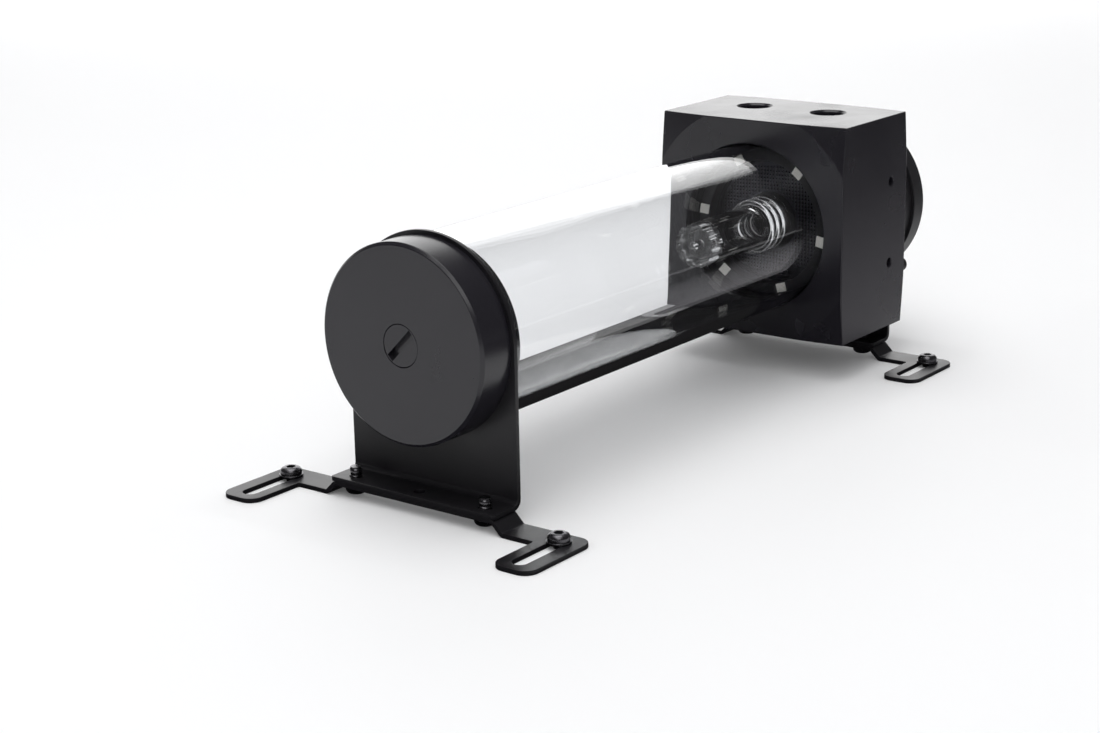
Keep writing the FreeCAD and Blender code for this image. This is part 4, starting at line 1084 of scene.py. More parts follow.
class RepeatTree:
    """A Geometry Nodes tree with named inputs that makes what repeats on a piece."""

    def __init__(self, name: str, inputs: Sequence[InputSocket]) -> None:
        """Start the tree.

        Args:
            name: The tree's name.
            inputs: Socket name, socket type and default value of each size.
        """
        self.tree = bpy.data.node_groups.new(name, "GeometryNodeTree")
        face = self.tree.interface
        face.new_socket(name="Geometry", in_out="INPUT", socket_type="NodeSocketGeometry")
        for label, kind, value in inputs:
            socket = face.new_socket(name=label, in_out="INPUT", socket_type=kind)
            socket.default_value = value
        face.new_socket(name="Material", in_out="INPUT", socket_type="NodeSocketMaterial")
        face.new_socket(name="Geometry", in_out="OUTPUT", socket_type="NodeSocketGeometry")
        self.build = TreeBuilder(self.tree)
        self.start = self.build.node("NodeGroupInput")
        self.end = self.build.node("NodeGroupOutput")

    def size(self, name: str) -> bpy.types.NodeSocket:
        """Output socket of a named input."""
        return self.start.outputs[name]

    def close(self, geometry: bpy.types.NodeSocket) -> None:
        """End the tree in Realize Instances and Set Material.

        Args:
            geometry: What the tree has made.
        """
        real = self.build.node("GeometryNodeRealizeInstances", {0: geometry})
        dressed = self.build.node("GeometryNodeSetMaterial", {"Geometry": real.outputs[0]})
        self.build.link(self.size("Material"), dressed.inputs["Material"])
        self.build.link(dressed.outputs[0], self.end.inputs[0])

    def stand(self, piece: bpy.types.NodeSocket) -> None:
        """End the tree with a turned copy of a piece at each point.

        Args:
            piece: The geometry that is copied.
        """
        spread = {"Points": self.size("Geometry"), "Instance": piece, "Rotation": self.size("Turn")}
        self.close(self.build.node("GeometryNodeInstanceOnPoints", spread).outputs[0])

    def grow(
        self, name: str, spots: Sequence[Vector], sizes: dict[str, object], finish: Finish
    ) -> bpy.types.Object:
        """Run the tree over a set of points.

        Args:
            name: Name of the finished object.
            spots: Points in millimetres that the tree works on.
            sizes: Values of the named inputs.
            finish: The finish that Set Material gives.

        Returns:
            The result as a plain mesh object.
        """
        mesh = bpy.data.meshes.new(name)
        mesh.from_pydata([tuple(spot * MM) for spot in spots], [], [])
        holder = link_mesh(name, mesh)
        step = holder.modifiers.new("grow", "NODES")
        step.node_group = self.tree
        sockets = [item for item in self.tree.interface.items_tree if item.in_out == "INPUT"]
        names = {item.name: item.identifier for item in sockets}
        for key, value in sizes.items():
            step[names[key]] = value
        step[names["Material"]] = finish.material()
        return settled(holder)


# Share of the head's height that is straight, then the share and the scale of each step of its dome
HEAD_RIM = 0.45
HEAD_DOME = ((0.2, 0.95), (0.16, 0.91), (0.12, 0.85), (0.07, 0.78))
# Shares of the shank's radius that are its core and the half width of its thread
THREAD_CORE = 0.86
THREAD_FLANK = 0.14


def raised_ring(
    build: TreeBuilder, mesh: bpy.types.NodeSocket, top: bpy.types.NodeSocket, offset: object, scale: float
) -> tuple[bpy.types.NodeSocket, bpy.types.NodeSocket]:
    """Extrude the picked faces upwards and scale their end.

    Args:
        build: Builder of the tree.
        mesh: The mesh so far.
        top: Its picked faces.
        offset: How far they go.
        scale: Scale of their end.

    Returns:
        The mesh and its new top.
    """
    step = build.node("GeometryNodeExtrudeMesh", {"Mesh": mesh, "Selection": top, "Offset Scale": offset})
    shrink = build.node(
        "GeometryNodeScaleElements",
        {"Geometry": step.outputs["Mesh"], "Selection": step.outputs["Top"], "Scale": scale},
    )
    return shrink.outputs[0], step.outputs["Top"]


def socket_screw_tree() -> RepeatTree:
    """Button-head screw with a hexagon socket and a threaded shank.

    Returns:
        A tree that puts one at each point.
    """
    floats = "NodeSocketFloat"
    tree = RepeatTree(
        "socket_screws",
        (
            ("Head Radius", floats, 0.0034), ("Head Height", floats, 0.0023),
            ("Shank Radius", floats, 0.0019), ("Shank Length", floats, 0.008),
            ("Socket Radius", floats, 0.0016), ("Thread Pitch", floats, 0.0007),
            ("Turn", "NodeSocketVector", (0.0, 0.0, 0.0)),
        ),
    )
    build = tree.build
    head_r = tree.size("Head Radius")
    head_h = tree.size("Head Height")
    disc = build.node("GeometryNodeMeshCircle", {"Vertices": 40, "Radius": head_r}, fill_type="NGON")
    rim = build.maths("MULTIPLY", head_h, HEAD_RIM)
    first = build.node("GeometryNodeExtrudeMesh", {"Mesh": disc.outputs[0], "Offset Scale": rim})
    dome, top = first.outputs["Mesh"], first.outputs["Top"]
    for share, scale in HEAD_DOME:
        dome, top = raised_ring(build, dome, top, build.maths("MULTIPLY", head_h, share), scale)
    depth = build.maths("MULTIPLY", head_h, 1.1)
    recess = build.node(
        "GeometryNodeMeshCylinder",
        {"Vertices": 6, "Radius": tree.size("Socket Radius"), "Depth": depth},
    )
    head = build.cut(dome, build.moved(recess.outputs[0], build.vector(z=head_h)))
    length = tree.size("Shank Length")
    shank_r = tree.size("Shank Radius")
    core_r = build.maths("MULTIPLY", shank_r, THREAD_CORE)
    core = build.node("GeometryNodeMeshCylinder", {"Vertices": 28, "Radius": core_r, "Depth": length})
    core_set = build.moved(core.outputs[0], build.vector(z=build.maths("MULTIPLY", length, -0.5)))
    flank = build.maths("MULTIPLY", shank_r, THREAD_FLANK)
    ridge_length = build.maths("SUBTRACT", length, build.maths("MULTIPLY", flank, 2.4))
    turns = build.maths("DIVIDE", ridge_length, tree.size("Thread Pitch"))
    helix = build.node(
        "GeometryNodeCurveSpiral",
        {"Resolution": 20, "Rotations": turns, "Start Radius": core_r, "End Radius": core_r,
         "Height": ridge_length},
    )
    profile = build.node("GeometryNodeCurvePrimitiveCircle", {"Resolution": 4, "Radius": flank})
    sweep = {"Curve": helix.outputs[0], "Profile Curve": profile.outputs[0]}
    ridge = build.node("GeometryNodeCurveToMesh", sweep)
    sink = build.maths("SUBTRACT", build.maths("MULTIPLY", flank, 1.2), length)
    ridge_set = build.moved(ridge.outputs[0], build.vector(z=sink))
    tree.stand(build.joined(head, core_set, ridge_set))
    return tree


def sieve_tree() -> RepeatTree:
    """Perforated ring: a square grid of small holes between two rims.

    Returns:
        A tree that makes it at its place.
    """
    floats = "NodeSocketFloat"
    tree = RepeatTree(
        "sieve_holes",
        (
            ("Pitch", floats, 0.0013), ("Hole Share", floats, 0.66), ("Inner Radius", floats, 0.0107),
            ("Outer Radius", floats, 0.0214), ("Thickness", floats, 0.0006),
            ("Place", "NodeSocketVector", (0, 0, 0)),
        ),
    )
    build = tree.build
    pitch = tree.size("Pitch")
    outer = tree.size("Outer Radius")
    inner = tree.size("Inner Radius")
    count = build.maths("ADD", build.maths("DIVIDE", build.maths("MULTIPLY", outer, 2.0), pitch), 1.0)
    whole = build.maths("FLOOR", count)
    span = build.maths("MULTIPLY", build.maths("SUBTRACT", whole, 1.0), pitch)
    grid = build.node(
        "GeometryNodeMeshGrid", {"Size X": span, "Size Y": span, "Vertices X": whole, "Vertices Y": whole}
    )
    spot = build.node("GeometryNodeInputPosition").outputs[0]
    away = build.node("ShaderNodeVectorMath", {0: spot}, operation="LENGTH").outputs["Value"]
    room = build.maths("MULTIPLY", pitch, 0.6)
    near = build.maths("LESS_THAN", away, build.maths("ADD", inner, room))
    far = build.maths("GREATER_THAN", away, build.maths("SUBTRACT", outer, room))
    kept = build.node(
        "GeometryNodeDeleteGeometry",
        {"Geometry": grid.outputs[0], "Selection": build.maths("MAXIMUM", near, far)},
        domain="POINT",
    )
    thick = tree.size("Thickness")
    sheet = build.node("GeometryNodeMeshCylinder", {"Vertices": 128, "Radius": outer, "Depth": thick})
    deep = build.maths("MULTIPLY", thick, 4.0)
    hole_r = build.maths("MULTIPLY", build.maths("MULTIPLY", pitch, 0.5), tree.size("Hole Share"))
    punch = build.node("GeometryNodeMeshCylinder", {"Vertices": 10, "Radius": hole_r, "Depth": deep})
    bore = build.node("GeometryNodeMeshCylinder", {"Vertices": 96, "Radius": inner, "Depth": deep})
    punches = build.node(
        "GeometryNodeInstanceOnPoints", {"Points": kept.outputs[0], "Instance": punch.outputs[0]}
    )
    real = build.node("GeometryNodeRealizeInstances", {0: punches.outputs[0]})
    punched = build.cut(sheet.outputs[0], build.joined(real.outputs[0], bore.outputs[0]))
    facing = build.node(
        "GeometryNodeTransform",
        {"Geometry": punched, "Translation": tree.size("Place"), "Rotation": (0.0, math.pi / 2, 0.0)},
    )
    tree.close(facing.outputs[0])
    return tree


def thread_tree() -> RepeatTree:
    """Helical ridge about the local Z axis.

    Returns:
        A tree that turns it and puts one at each point.
    """
    floats = "NodeSocketFloat"
    tree = RepeatTree(
        "thread_ridges",
        (
            ("Radius", floats, 0.006), ("Length", floats, 0.012), ("Pitch", floats, 0.00134),
            ("Ridge", floats, 0.0005), ("Flats", "NodeSocketInt", 5), ("Turn", "NodeSocketVector", (0, 0, 0)),
        ),
    )
    build = tree.build
    radius = tree.size("Radius")
    turns = build.maths("DIVIDE", tree.size("Length"), tree.size("Pitch"))
    helix = build.node(
        "GeometryNodeCurveSpiral",
        {"Resolution": 64, "Rotations": turns, "Start Radius": radius, "End Radius": radius,
         "Height": tree.size("Length")},
    )
    profile = build.node(
        "GeometryNodeCurvePrimitiveCircle", {"Resolution": tree.size("Flats"), "Radius": tree.size("Ridge")}
    )
    ridge = build.node(
        "GeometryNodeCurveToMesh",
        {"Curve": helix.outputs[0], "Profile Curve": profile.outputs[0], "Fill Caps": True},
    )
    tree.stand(ridge.outputs[0])
    return tree


def fluted_tree() -> RepeatTree:
    """Round end piece whose rim is fluted by a rule, with a jet hole in its middle.

    Returns:
        A tree that turns it and puts one at each point.
    """
    floats = "NodeSocketFloat"
    tree = RepeatTree(
        "fluted_end",
        (
            ("Radius", floats, 0.0078), ("Flute Depth", floats, 0.0009), ("Flutes", floats, 12.0),
            ("Length", floats, 0.005), ("Hole Radius", floats, 0.0016),
            ("Turn", "NodeSocketVector", (0, 0, 0)),
        ),
    )
    build = tree.build
    ring = build.node("GeometryNodeMeshCircle", {"Vertices": 240, "Radius": 1.0}, fill_type="NGON")
    spot = build.node("GeometryNodeInputPosition").outputs[0]
    parts = build.node("ShaderNodeSeparateXYZ", {0: spot})
    angle = build.maths("ARCTAN2", parts.outputs[1], parts.outputs[0])
    wave = build.maths("COSINE", build.maths("MULTIPLY", angle, tree.size("Flutes")))
    lobed = build.maths("POWER", build.maths("MULTIPLY", build.maths("ADD", wave, 1.0), 0.5), 3.0)
    groove = build.maths("MULTIPLY", lobed, tree.size("Flute Depth"))
    radius = build.maths("SUBTRACT", tree.size("Radius"), groove)
    stretched = build.node("ShaderNodeVectorMath", {0: spot}, operation="SCALE")
    build.link(radius, stretched.inputs["Scale"])
    shaped = {"Geometry": ring.outputs[0], "Position": stretched.outputs[0]}
    rim = build.node("GeometryNodeSetPosition", shaped)
    raised = {"Mesh": rim.outputs[0], "Offset Scale": tree.size("Length")}
    body = build.node("GeometryNodeExtrudeMesh", raised)
    base = build.node("GeometryNodeFlipFaces", {0: rim.outputs[0]})
    both = build.joined(body.outputs["Mesh"], base.outputs[0])
    sealed = build.node("GeometryNodeMergeByDistance", {"Geometry": both, "Distance": 0.000001})
    deep = build.maths("MULTIPLY", tree.size("Length"), 3.0)
    hole = build.node(
        "GeometryNodeMeshCylinder", {"Vertices": 48, "Radius": tree.size("Hole Radius"), "Depth": deep}
    )
    tree.stand(build.cut(sealed.outputs[0], hole.outputs[0]))
    return tree


# Sub-assemblies


def plain_bore(depth: float, radius: float, before: float = 0.0) -> tuple[Point2, ...]:
    """Outline of a straight cutter that starts a little before its face."""
    return (-before, 0.0), (-before, radius), (depth, radius), (depth, 0.0)


@dataclass
class EndCap:
    """Turned cap with its slotted fill plug."""

    front: float = -109.5
    rear: float = -96.5
    radius: float = 30.8
    edge: float = 0.9
    spigot_r: float = 26.8
    spigot_end: float = -89.0
    groove_x: float = -92.0
    groove_half: float = 1.035
    groove_r: float = 25.15
    recess_r: float = 22.0
    recess_x: float = -99.0
    throat_r: float = 5.0
    shoulder_x: float = -100.5
    bore_r: float = 6.58
    plug_r: float = 6.5
    plug_front: float = -109.4
    plug_rear: float = -102.2
    slot_length: float = 12.0
    slot_width: float = 2.5
    slot_depth: float = 2.2
    slot_angle: float = -45.0

    def build_cap(self) -> bpy.types.Object:
        """Turn the cap in place of its CAD node.

        Returns:
            The cap.
        """
        low, high = self.groove_x - self.groove_half, self.groove_x + self.groove_half
        outline = (
            (self.front, self.bore_r), (self.front, self.radius - self.edge),
            (self.front + self.edge, self.radius),
            (self.rear, self.radius), (self.rear, self.spigot_r), (low, self.spigot_r), (low, self.groove_r),
            (high, self.groove_r), (high, self.spigot_r), (self.spigot_end, self.spigot_r),
            (self.spigot_end, self.recess_r), (self.recess_x, self.recess_r), (self.recess_x, self.throat_r),
            (self.shoulder_x, self.throat_r), (self.shoulder_x, self.bore_r),
        )
        made = shaded(lathe("turned_end_cap", outline, steps=256, soft=0.18))
        return finished(made, TURNED_ACETAL, Body.RESERVOIR, ["end_cap"])

    def build_plug(self) -> bpy.types.Object:
        """Turn the fill plug and mill the slot across its face.

        Returns:
            The plug.
        """
        front, rear, radius = self.plug_front, self.plug_rear, self.plug_r
        outline = ((front, 0.0), (front, radius), (rear, radius), (rear, 0.0))
        blank = lathe("slotted_fill_plug", outline, steps=128, soft=0.25)
        half_l, half_w = self.slot_length / 2, self.slot_width / 2
        low = (self.plug_front - PAST_FACE, -half_l, -half_w)
        cutter = box_mesh("slot_cutter", low, (self.plug_front + self.slot_depth, half_l, half_w))
        turn = Matrix.Rotation(math.radians(self.slot_angle), 4, "X")
        cutter.data.transform(Matrix.Translation((0.0, 0.0, AXIS_Z * MM)) @ turn)
        milled = bevelled(carved(blank, [cutter]), 0.12, 50.0, 2)
        return finished(shaded(milled), TURNED_ACETAL, Body.FILL_PLUG, ["fill_plug"])

    def build(self) -> None:
        """Make the cap and its plug."""
        self.build_cap()
        self.build_plug()


@dataclass
class GlassTube:
    """Clear tube with ground ends."""

    front: float = -95.0
    rear: float = 93.0
    outer: float = 30.0
    inner: float = 27.0

    def build(self) -> bpy.types.Object:
        """Draw the tube in place of its CAD node.

        Returns:
            The tube.
        """
        front, rear = self.front, self.rear
        outline = ((front, self.inner), (rear, self.inner), (rear, self.outer), (front, self.outer))
        made = shaded(lathe("clear_glass_tube", outline, steps=384, soft=0.35))
        return finished(made, CLEAR_GLASS, Body.RESERVOIR, ["reservoir_tube"])


@dataclass
class PumpBlock:
    """Square machined block, its corners turned back on both faces, with tapped ports.

    Depths and lead-ins are measured from the face that a bore enters.
    """

    front: float = 82.0
    rear: float = 128.5
    half_width: float = 38.0
    half_height: float = 39.0
    face_circle: float = 43.3
    corner_r: float = 55.45
    setback: float = 1.9
    lead_in: float = 0.35
    tube_r: float = 30.3
    tube_mouth_r: float = 31.7
    tube_depth: float = 11.0
    seal_r: float = 31.85
    seal_front: float = 2.63
    seal_rear: float = 4.7
    recess_r: float = 21.5
    recess_depth: float = 15.0
    boss_r: float = 10.6
    riser_r: float = 6.6
    riser_depth: float = 18.0
    pump_r: float = 27.05
    pump_mouth_r: float = 28.4
    pump_depth: float = 12.0
    volute_r: float = 22.0
    volute_depth: float = 19.5
    eye_r: float = 8.6
    eye_depth: float = 22.0
    port_x: float = 110.0
    port_y: float = 15.5
    port_r: float = 5.9
    port_depth: float = 13.0
    port_pitch: float = 1.337
    port_room: float = 0.05
    port_mouth: float = 1.9
    port_step: float = 0.15
    port_step_depth: float = 0.75
    port_tip: float = 1.6
    thread_root: float = 0.25
    thread_ridge: float = 0.5
    thread_short: float = 1.4
    side_x: float = 117.0
    side_half: float = 15.0
    side_r: float = 1.65
    side_depth: float = 8.0
    side_mouth: float = 1.3
    side_lead_in: float = 0.3
    side_tip: float = 1.0
    outlet_x: float = 112.6
    outlet_r: float = 3.0
    outlet_depth: float = 24.0
    duct_r: float = 2.8
    return_start_x: float = 98.5
    return_end_x: float = 108.0
    return_rise: float = 1.0
    suction_mouth_x: float = 95.5
    suction_mouth_r: float = 16.5
    suction_eye_x: float = 108.2
    suction_eye_r: float = 4.5
    suction_count: int = 4
    cable_y: float = -35.2
    cable_drop: float = 18.6
    cable_r: float = 1.56
    cable_depth: float = 6.0

    def barrel(self) -> bpy.types.Object:
        """Turn the solid that leaves the corners turned back on both faces.

        Returns:
            The solid that the block keeps.
        """
        outline = (
            (self.front, 0.0), (self.front, self.face_circle), (self.front + self.setback, self.corner_r),
            (self.rear - self.setback, self.corner_r), (self.rear, self.face_circle), (self.rear, 0.0),
        )
        return lathe("corner_barrel", outline, steps=256, soft=0.0)

    def front_bores(self) -> bpy.types.Object:
        """Turn the cutter of the tube's bore, its seal groove, the suction recess and the riser's socket.

        Returns:
            The cutter.
        """
        face = self.front
        seal_front, seal_rear = face + self.seal_front, face + self.seal_rear
        seat, floor, socket = face + self.tube_depth, face + self.recess_depth, face + self.riser_depth
        outside = face - PAST_FACE
        outline = (
            (outside, 0.0), (outside, self.tube_mouth_r), (face + self.lead_in, self.tube_r),
            (seal_front, self.tube_r), (seal_front, self.seal_r), (seal_rear, self.seal_r),
            (seal_rear, self.tube_r), (seat, self.tube_r), (seat, self.recess_r),
            (floor, self.recess_r), (floor, self.boss_r),
            (seat, self.boss_r), (seat, self.riser_r), (socket, self.riser_r), (socket, 0.0),
        )
        return lathe("front_bore_cutter", outline, steps=256, soft=0.0)

    def rear_bores(self) -> bpy.types.Object:
        """Turn the cutter of the pump's pocket, the volute and the suction eye.

        Returns:
            The cutter.
        """
        face = self.rear
        seat, floor, eye = face - self.pump_depth, face - self.volute_depth, face - self.eye_depth
        outside = face + PAST_FACE
        outline = (
            (outside, 0.0), (outside, self.pump_mouth_r), (face - self.lead_in, self.pump_r),
            (seat, self.pump_r), (seat, self.volute_r), (floor, self.volute_r), (floor, self.eye_r),
            (eye, self.eye_r), (eye, 0.0),
        )
        return lathe("rear_bore_cutter", outline, steps=256, soft=0.0)

    def hole_cutters(self) -> list[bpy.types.Object]:
        """Make the cutters of the ports and the side holes.

        Returns:
            The cutters.
        """
        tools = []
        top = AXIS_Z + self.half_height
        wall, step = self.port_r + self.port_room, self.port_r + self.port_step
        port = (
            (-PAST_FACE, 0.0), (-PAST_FACE, self.port_r + self.port_mouth), (self.port_step_depth, step),
            (self.port_step_depth, wall), (self.port_depth, wall), (self.port_depth + self.port_tip, 0.0),
        )
        side = (
            (-PAST_FACE, 0.0), (-PAST_FACE, self.side_r + self.side_mouth), (self.side_lead_in, self.side_r),
            (self.side_depth, self.side_r), (self.side_depth + self.side_tip, 0.0),
        )
        for sign in (-1, 1):
            base = Vector((self.port_x, sign * self.port_y, top))
            tools.append(turned_cutter(f"port_cutter_{sign}", port, base, Vector((0, 0, -1)), 128))
            base = Vector((self.side_x, -self.half_width, AXIS_Z + sign * self.side_half))
            tools.append(turned_cutter(f"side_cutter_{sign}", side, base, Vector((0, 1, 0)), 48))
        return tools

    def duct(self, name: str, start: Vector, end: Vector) -> bpy.types.Object:
        """Make the cutter of a straight duct from one place to another.

        Args:
            name: The cutter's name.
            start: Where it starts, in millimetres.
            end: Where it ends, in millimetres.

        Returns:
            The cutter.
        """
        return turned_cutter(name, plain_bore((end - start).length, self.duct_r), start, end - start, 48)

    def duct_cutters(self) -> list[bpy.types.Object]:
        """Make the cutters of the outlet, the return duct, the suction ducts and the cable's hole.

        Returns:
            The cutters.
        """
        base = Vector((self.outlet_x, -self.port_y, AXIS_Z + self.half_height))
        outlet = plain_bore(self.outlet_depth, self.outlet_r)
        tools = [turned_cutter("outlet_cutter", outlet, base, Vector((0, 0, -1)), 48)]
        rise = self.half_height - self.port_depth + self.return_rise
        start = Vector((self.return_start_x, 0.0, AXIS_Z))
        end = Vector((self.return_end_x, self.port_y, AXIS_Z + rise))
        tools.append(self.duct("return_cutter", start, end))
        for index in range(self.suction_count):
            angle = math.atan2(rise, self.port_y) + math.pi * (2 * index + 1) / self.suction_count
            out = Vector((0.0, math.cos(angle), math.sin(angle)))
            mouth = out * self.suction_mouth_r + Vector((self.suction_mouth_x, 0.0, AXIS_Z))
            eye = out * self.suction_eye_r + Vector((self.suction_eye_x, 0.0, AXIS_Z))
            tools.append(self.duct(f"suction_cutter_{index}", mouth, eye))
        cable = plain_bore(self.cable_depth, self.cable_r, PAST_FACE)
        base = Vector((self.rear, self.cable_y, AXIS_Z - self.cable_drop))
        tools.append(turned_cutter("cable_cutter", cable, base, Vector((-1, 0, 0)), 32))
        return tools

    def build(self) -> None:
        """Machine the block: cut its bores, ports, side holes and ducts."""
        low = (self.front, -self.half_width, AXIS_Z - self.half_height)
        high = (self.rear, self.half_width, AXIS_Z + self.half_height)
        blank = carved(box_mesh("machined_pump_block", low, high), [self.barrel()], "INTERSECT")
        blank = bevelled(blank, 0.3, 30.0, 2)
        bores = [self.front_bores(), self.rear_bores()]
        block = carved(blank, bores + self.hole_cutters() + self.duct_cutters())
        finished(shaded(block, 7.0, weighted=False), ACETAL, Body.RESERVOIR, ["pump_top_block"])

    def build_threads(self, tree: RepeatTree) -> None:
        """Cut the ridges of the port threads.

        Args:
            tree: The tree that makes thread ridges.
        """
        bottom = AXIS_Z + self.half_height - self.port_depth
        spots = [Vector((self.port_x, sign * self.port_y, bottom)) for sign in (-1, 1)]
        radius, length = self.port_r + self.thread_root, self.port_depth - self.thread_short
        sizes = {
            "Radius": radius * MM, "Length": length * MM, "Pitch": self.port_pitch * MM,
            "Ridge": self.thread_ridge * MM,
        }
        made = shaded(tree.grow("port_threads", spots, sizes, THREAD_SHADE))
        finished(made, THREAD_SHADE, Body.RESERVOIR)


@dataclass
class ClearRiser:
    """Clear riser pipe in the block's mouth, threaded at its root and fluted at its end."""

    front: float = 50.0
    seat: float = 93.0
    socket: float = 6.0
    outer: float = 7.8
    inner: float = 5.4
    spigot: float = 6.5
    flange: float = 10.0
    flange_t: float = 1.6
    ring_pitch: float = 4.0
    ring_width: float = 1.8
    ring_count: int = 3
    ring_low: float = 0.3
    ring_flank: float = 0.35
    diffuser: float = 6.5
    diffuser_room: float = 0.05
    hole: float = 1.6

    def build_pipe(self) -> bpy.types.Object:
        """Turn the pipe with the rings of its coarse thread.

        Returns:
            The pipe.
        """
        end = self.seat + self.socket
        face = self.seat - self.flange_t
        outline = [
            (self.front, self.inner), (end, self.inner), (end, self.spigot), (self.seat, self.spigot),
            (self.seat, self.flange), (face, self.flange), (face, self.outer),
        ]
        crest, flank = self.flange - self.ring_low, self.ring_flank
        for index in range(self.ring_count):
            rear = face - self.ring_pitch * (index + 1) + self.ring_width
            front = rear - self.ring_width
            outline += [(rear, self.outer), (rear - flank, crest)]
            outline += [(front + flank, crest), (front, self.outer)]
        outline.append((self.front, self.outer))
        made = shaded(lathe("clear_riser_pipe", outline, steps=192, soft=0.3))
        return finished(made, CLEAR_PLASTIC, Body.RESERVOIR, ["riser_tube"])

    def build_diffuser(self, tree: RepeatTree) -> bpy.types.Object:
        """Grow the fluted end.

        Args:
            tree: The tree that makes fluted ends.

        Returns:
            The end piece.
        """
        length = self.diffuser - self.diffuser_room
        sizes = {
            "Radius": self.outer * MM, "Length": length * MM, "Hole Radius": self.hole * MM,
            "Turn": (0.0, math.pi / 2, 0.0),
        }
        spot = Vector((self.front - self.diffuser, 0.0, AXIS_Z))
        made = bevelled(tree.grow("fluted_diffuser", [spot], sizes, CLEAR_PLASTIC), 0.25, 50.0, 2)
        return finished(shaded(made), CLEAR_PLASTIC, Body.RESERVOIR, ["riser_diffuser"])


@dataclass
class SuctionEnd:
    """Sieve and lights in the mouth of the block."""

    sieve_x: float = 94.35
    ring_inner: float = 22.7
    ring_outer: float = 26.7
    ring_front: float = 88.0
    ring_rear: float = 93.0
    chip: float = 3.6
    chip_height: float = 0.7
    chip_count: int = 6
    chip_turn: float = 8.0
    chip_frame: float = 0.6
    chip_dip: float = 0.1

    def build_sieve(self, tree: RepeatTree) -> bpy.types.Object:
        """Punch the sieve.

        Args:
            tree: The tree that makes sieves.

        Returns:
            The sieve.
        """
        spot = Vector((self.sieve_x, 0.0, AXIS_Z)) * MM
        sizes = {"Place": tuple(spot)}
        made = tree.grow("punched_sieve", [Vector((0, 0, 0))], sizes, SIEVE_STEEL)
        return finished(shaded(made, weighted=False), SIEVE_STEEL, Body.RESERVOIR, ["suction_strainer"])

    def build_ring(self) -> bpy.types.Object:
        """Turn the carrier ring of the lights.

        Returns:
            The ring.
        """
        front, rear, inner, outer = self.ring_front, self.ring_rear, self.ring_inner, self.ring_outer
        outline = ((front, inner), (rear, inner), (rear, outer), (front, outer))
        made = shaded(lathe("light_carrier_ring", outline, steps=192, soft=0.2))
        return finished(made, MOULDED, Body.RESERVOIR, ["led_ring"])

    def build_chips(self) -> bpy.types.Object:
        """Place the light chips, each with a raised frame round a slightly sunk face.

        Returns:
            The chips as one object.
        """
        work = bmesh.new()
        middle = (self.ring_inner + self.ring_outer) / 2
        for index in range(self.chip_count):
            turn = Matrix.Rotation(math.radians(self.chip_turn + 360 * index / self.chip_count), 4, "X")
            base = bmesh.ops.create_cube(work, size=1.0)["verts"]
            size = Matrix.Diagonal((self.chip_height * MM, self.chip * MM, self.chip * MM, 1.0))
            spot = Matrix.Translation(((self.ring_front - self.chip_height / 2) * MM, middle * MM, 0.0))
            bmesh.ops.transform(work, matrix=turn @ spot @ size, verts=base)
            front = [f for f in {f for v in base for f in v.link_faces} if f.normal.x < -0.9]
            frame_width, dip = self.chip_frame * MM, self.chip_dip * MM
            bmesh.ops.inset_region(work, faces=front, thickness=frame_width, depth=-dip)
        work.transform(Matrix.Translation((0.0, 0.0, AXIS_Z * MM)))
        mesh = bpy.data.meshes.new("light_chips")
        work.to_mesh(mesh)
        work.free()
        made = bevelled(link_mesh("light_chips", mesh), 0.08, 40.0, 2)
        return finished(shaded(made), CHIP, Body.RESERVOIR, ["led_chips"])


@dataclass
class PumpEnd:
    """Motor can, flange and rear cover behind the block."""

    nodes: tuple[str, ...] = ("pump_housing", "pump_rear_cover")
    edge: float = 0.25

    def build(self) -> None:
        """Dress what is seen of the pump from behind."""
        for node in self.nodes:
            self.dressed_copy(node)

    def dressed_copy(self, node: str) -> bpy.types.Object:
        """Copy a CAD node, merge it and break its edges.

        Args:
            node: The node's name.

        Returns:
            The copy, which replaces the node.
        """
        made = link_mesh(f"{node}_moulded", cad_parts[node].data.copy())
        work = bmesh.new()
        work.from_mesh(made.data)
        bmesh.ops.remove_doubles(work, verts=work.verts, dist=1e-6)
        bmesh.ops.dissolve_limit(work, angle_limit=math.radians(1.0), verts=work.verts, edges=work.edges)
        work.to_mesh(made.data)
        work.free()
        made = shaded(bevelled(made, self.edge, 35.0, 2), 25.0)
        return finished(made, NODE_FINISHES[node], Body.RESERVOIR, [node])


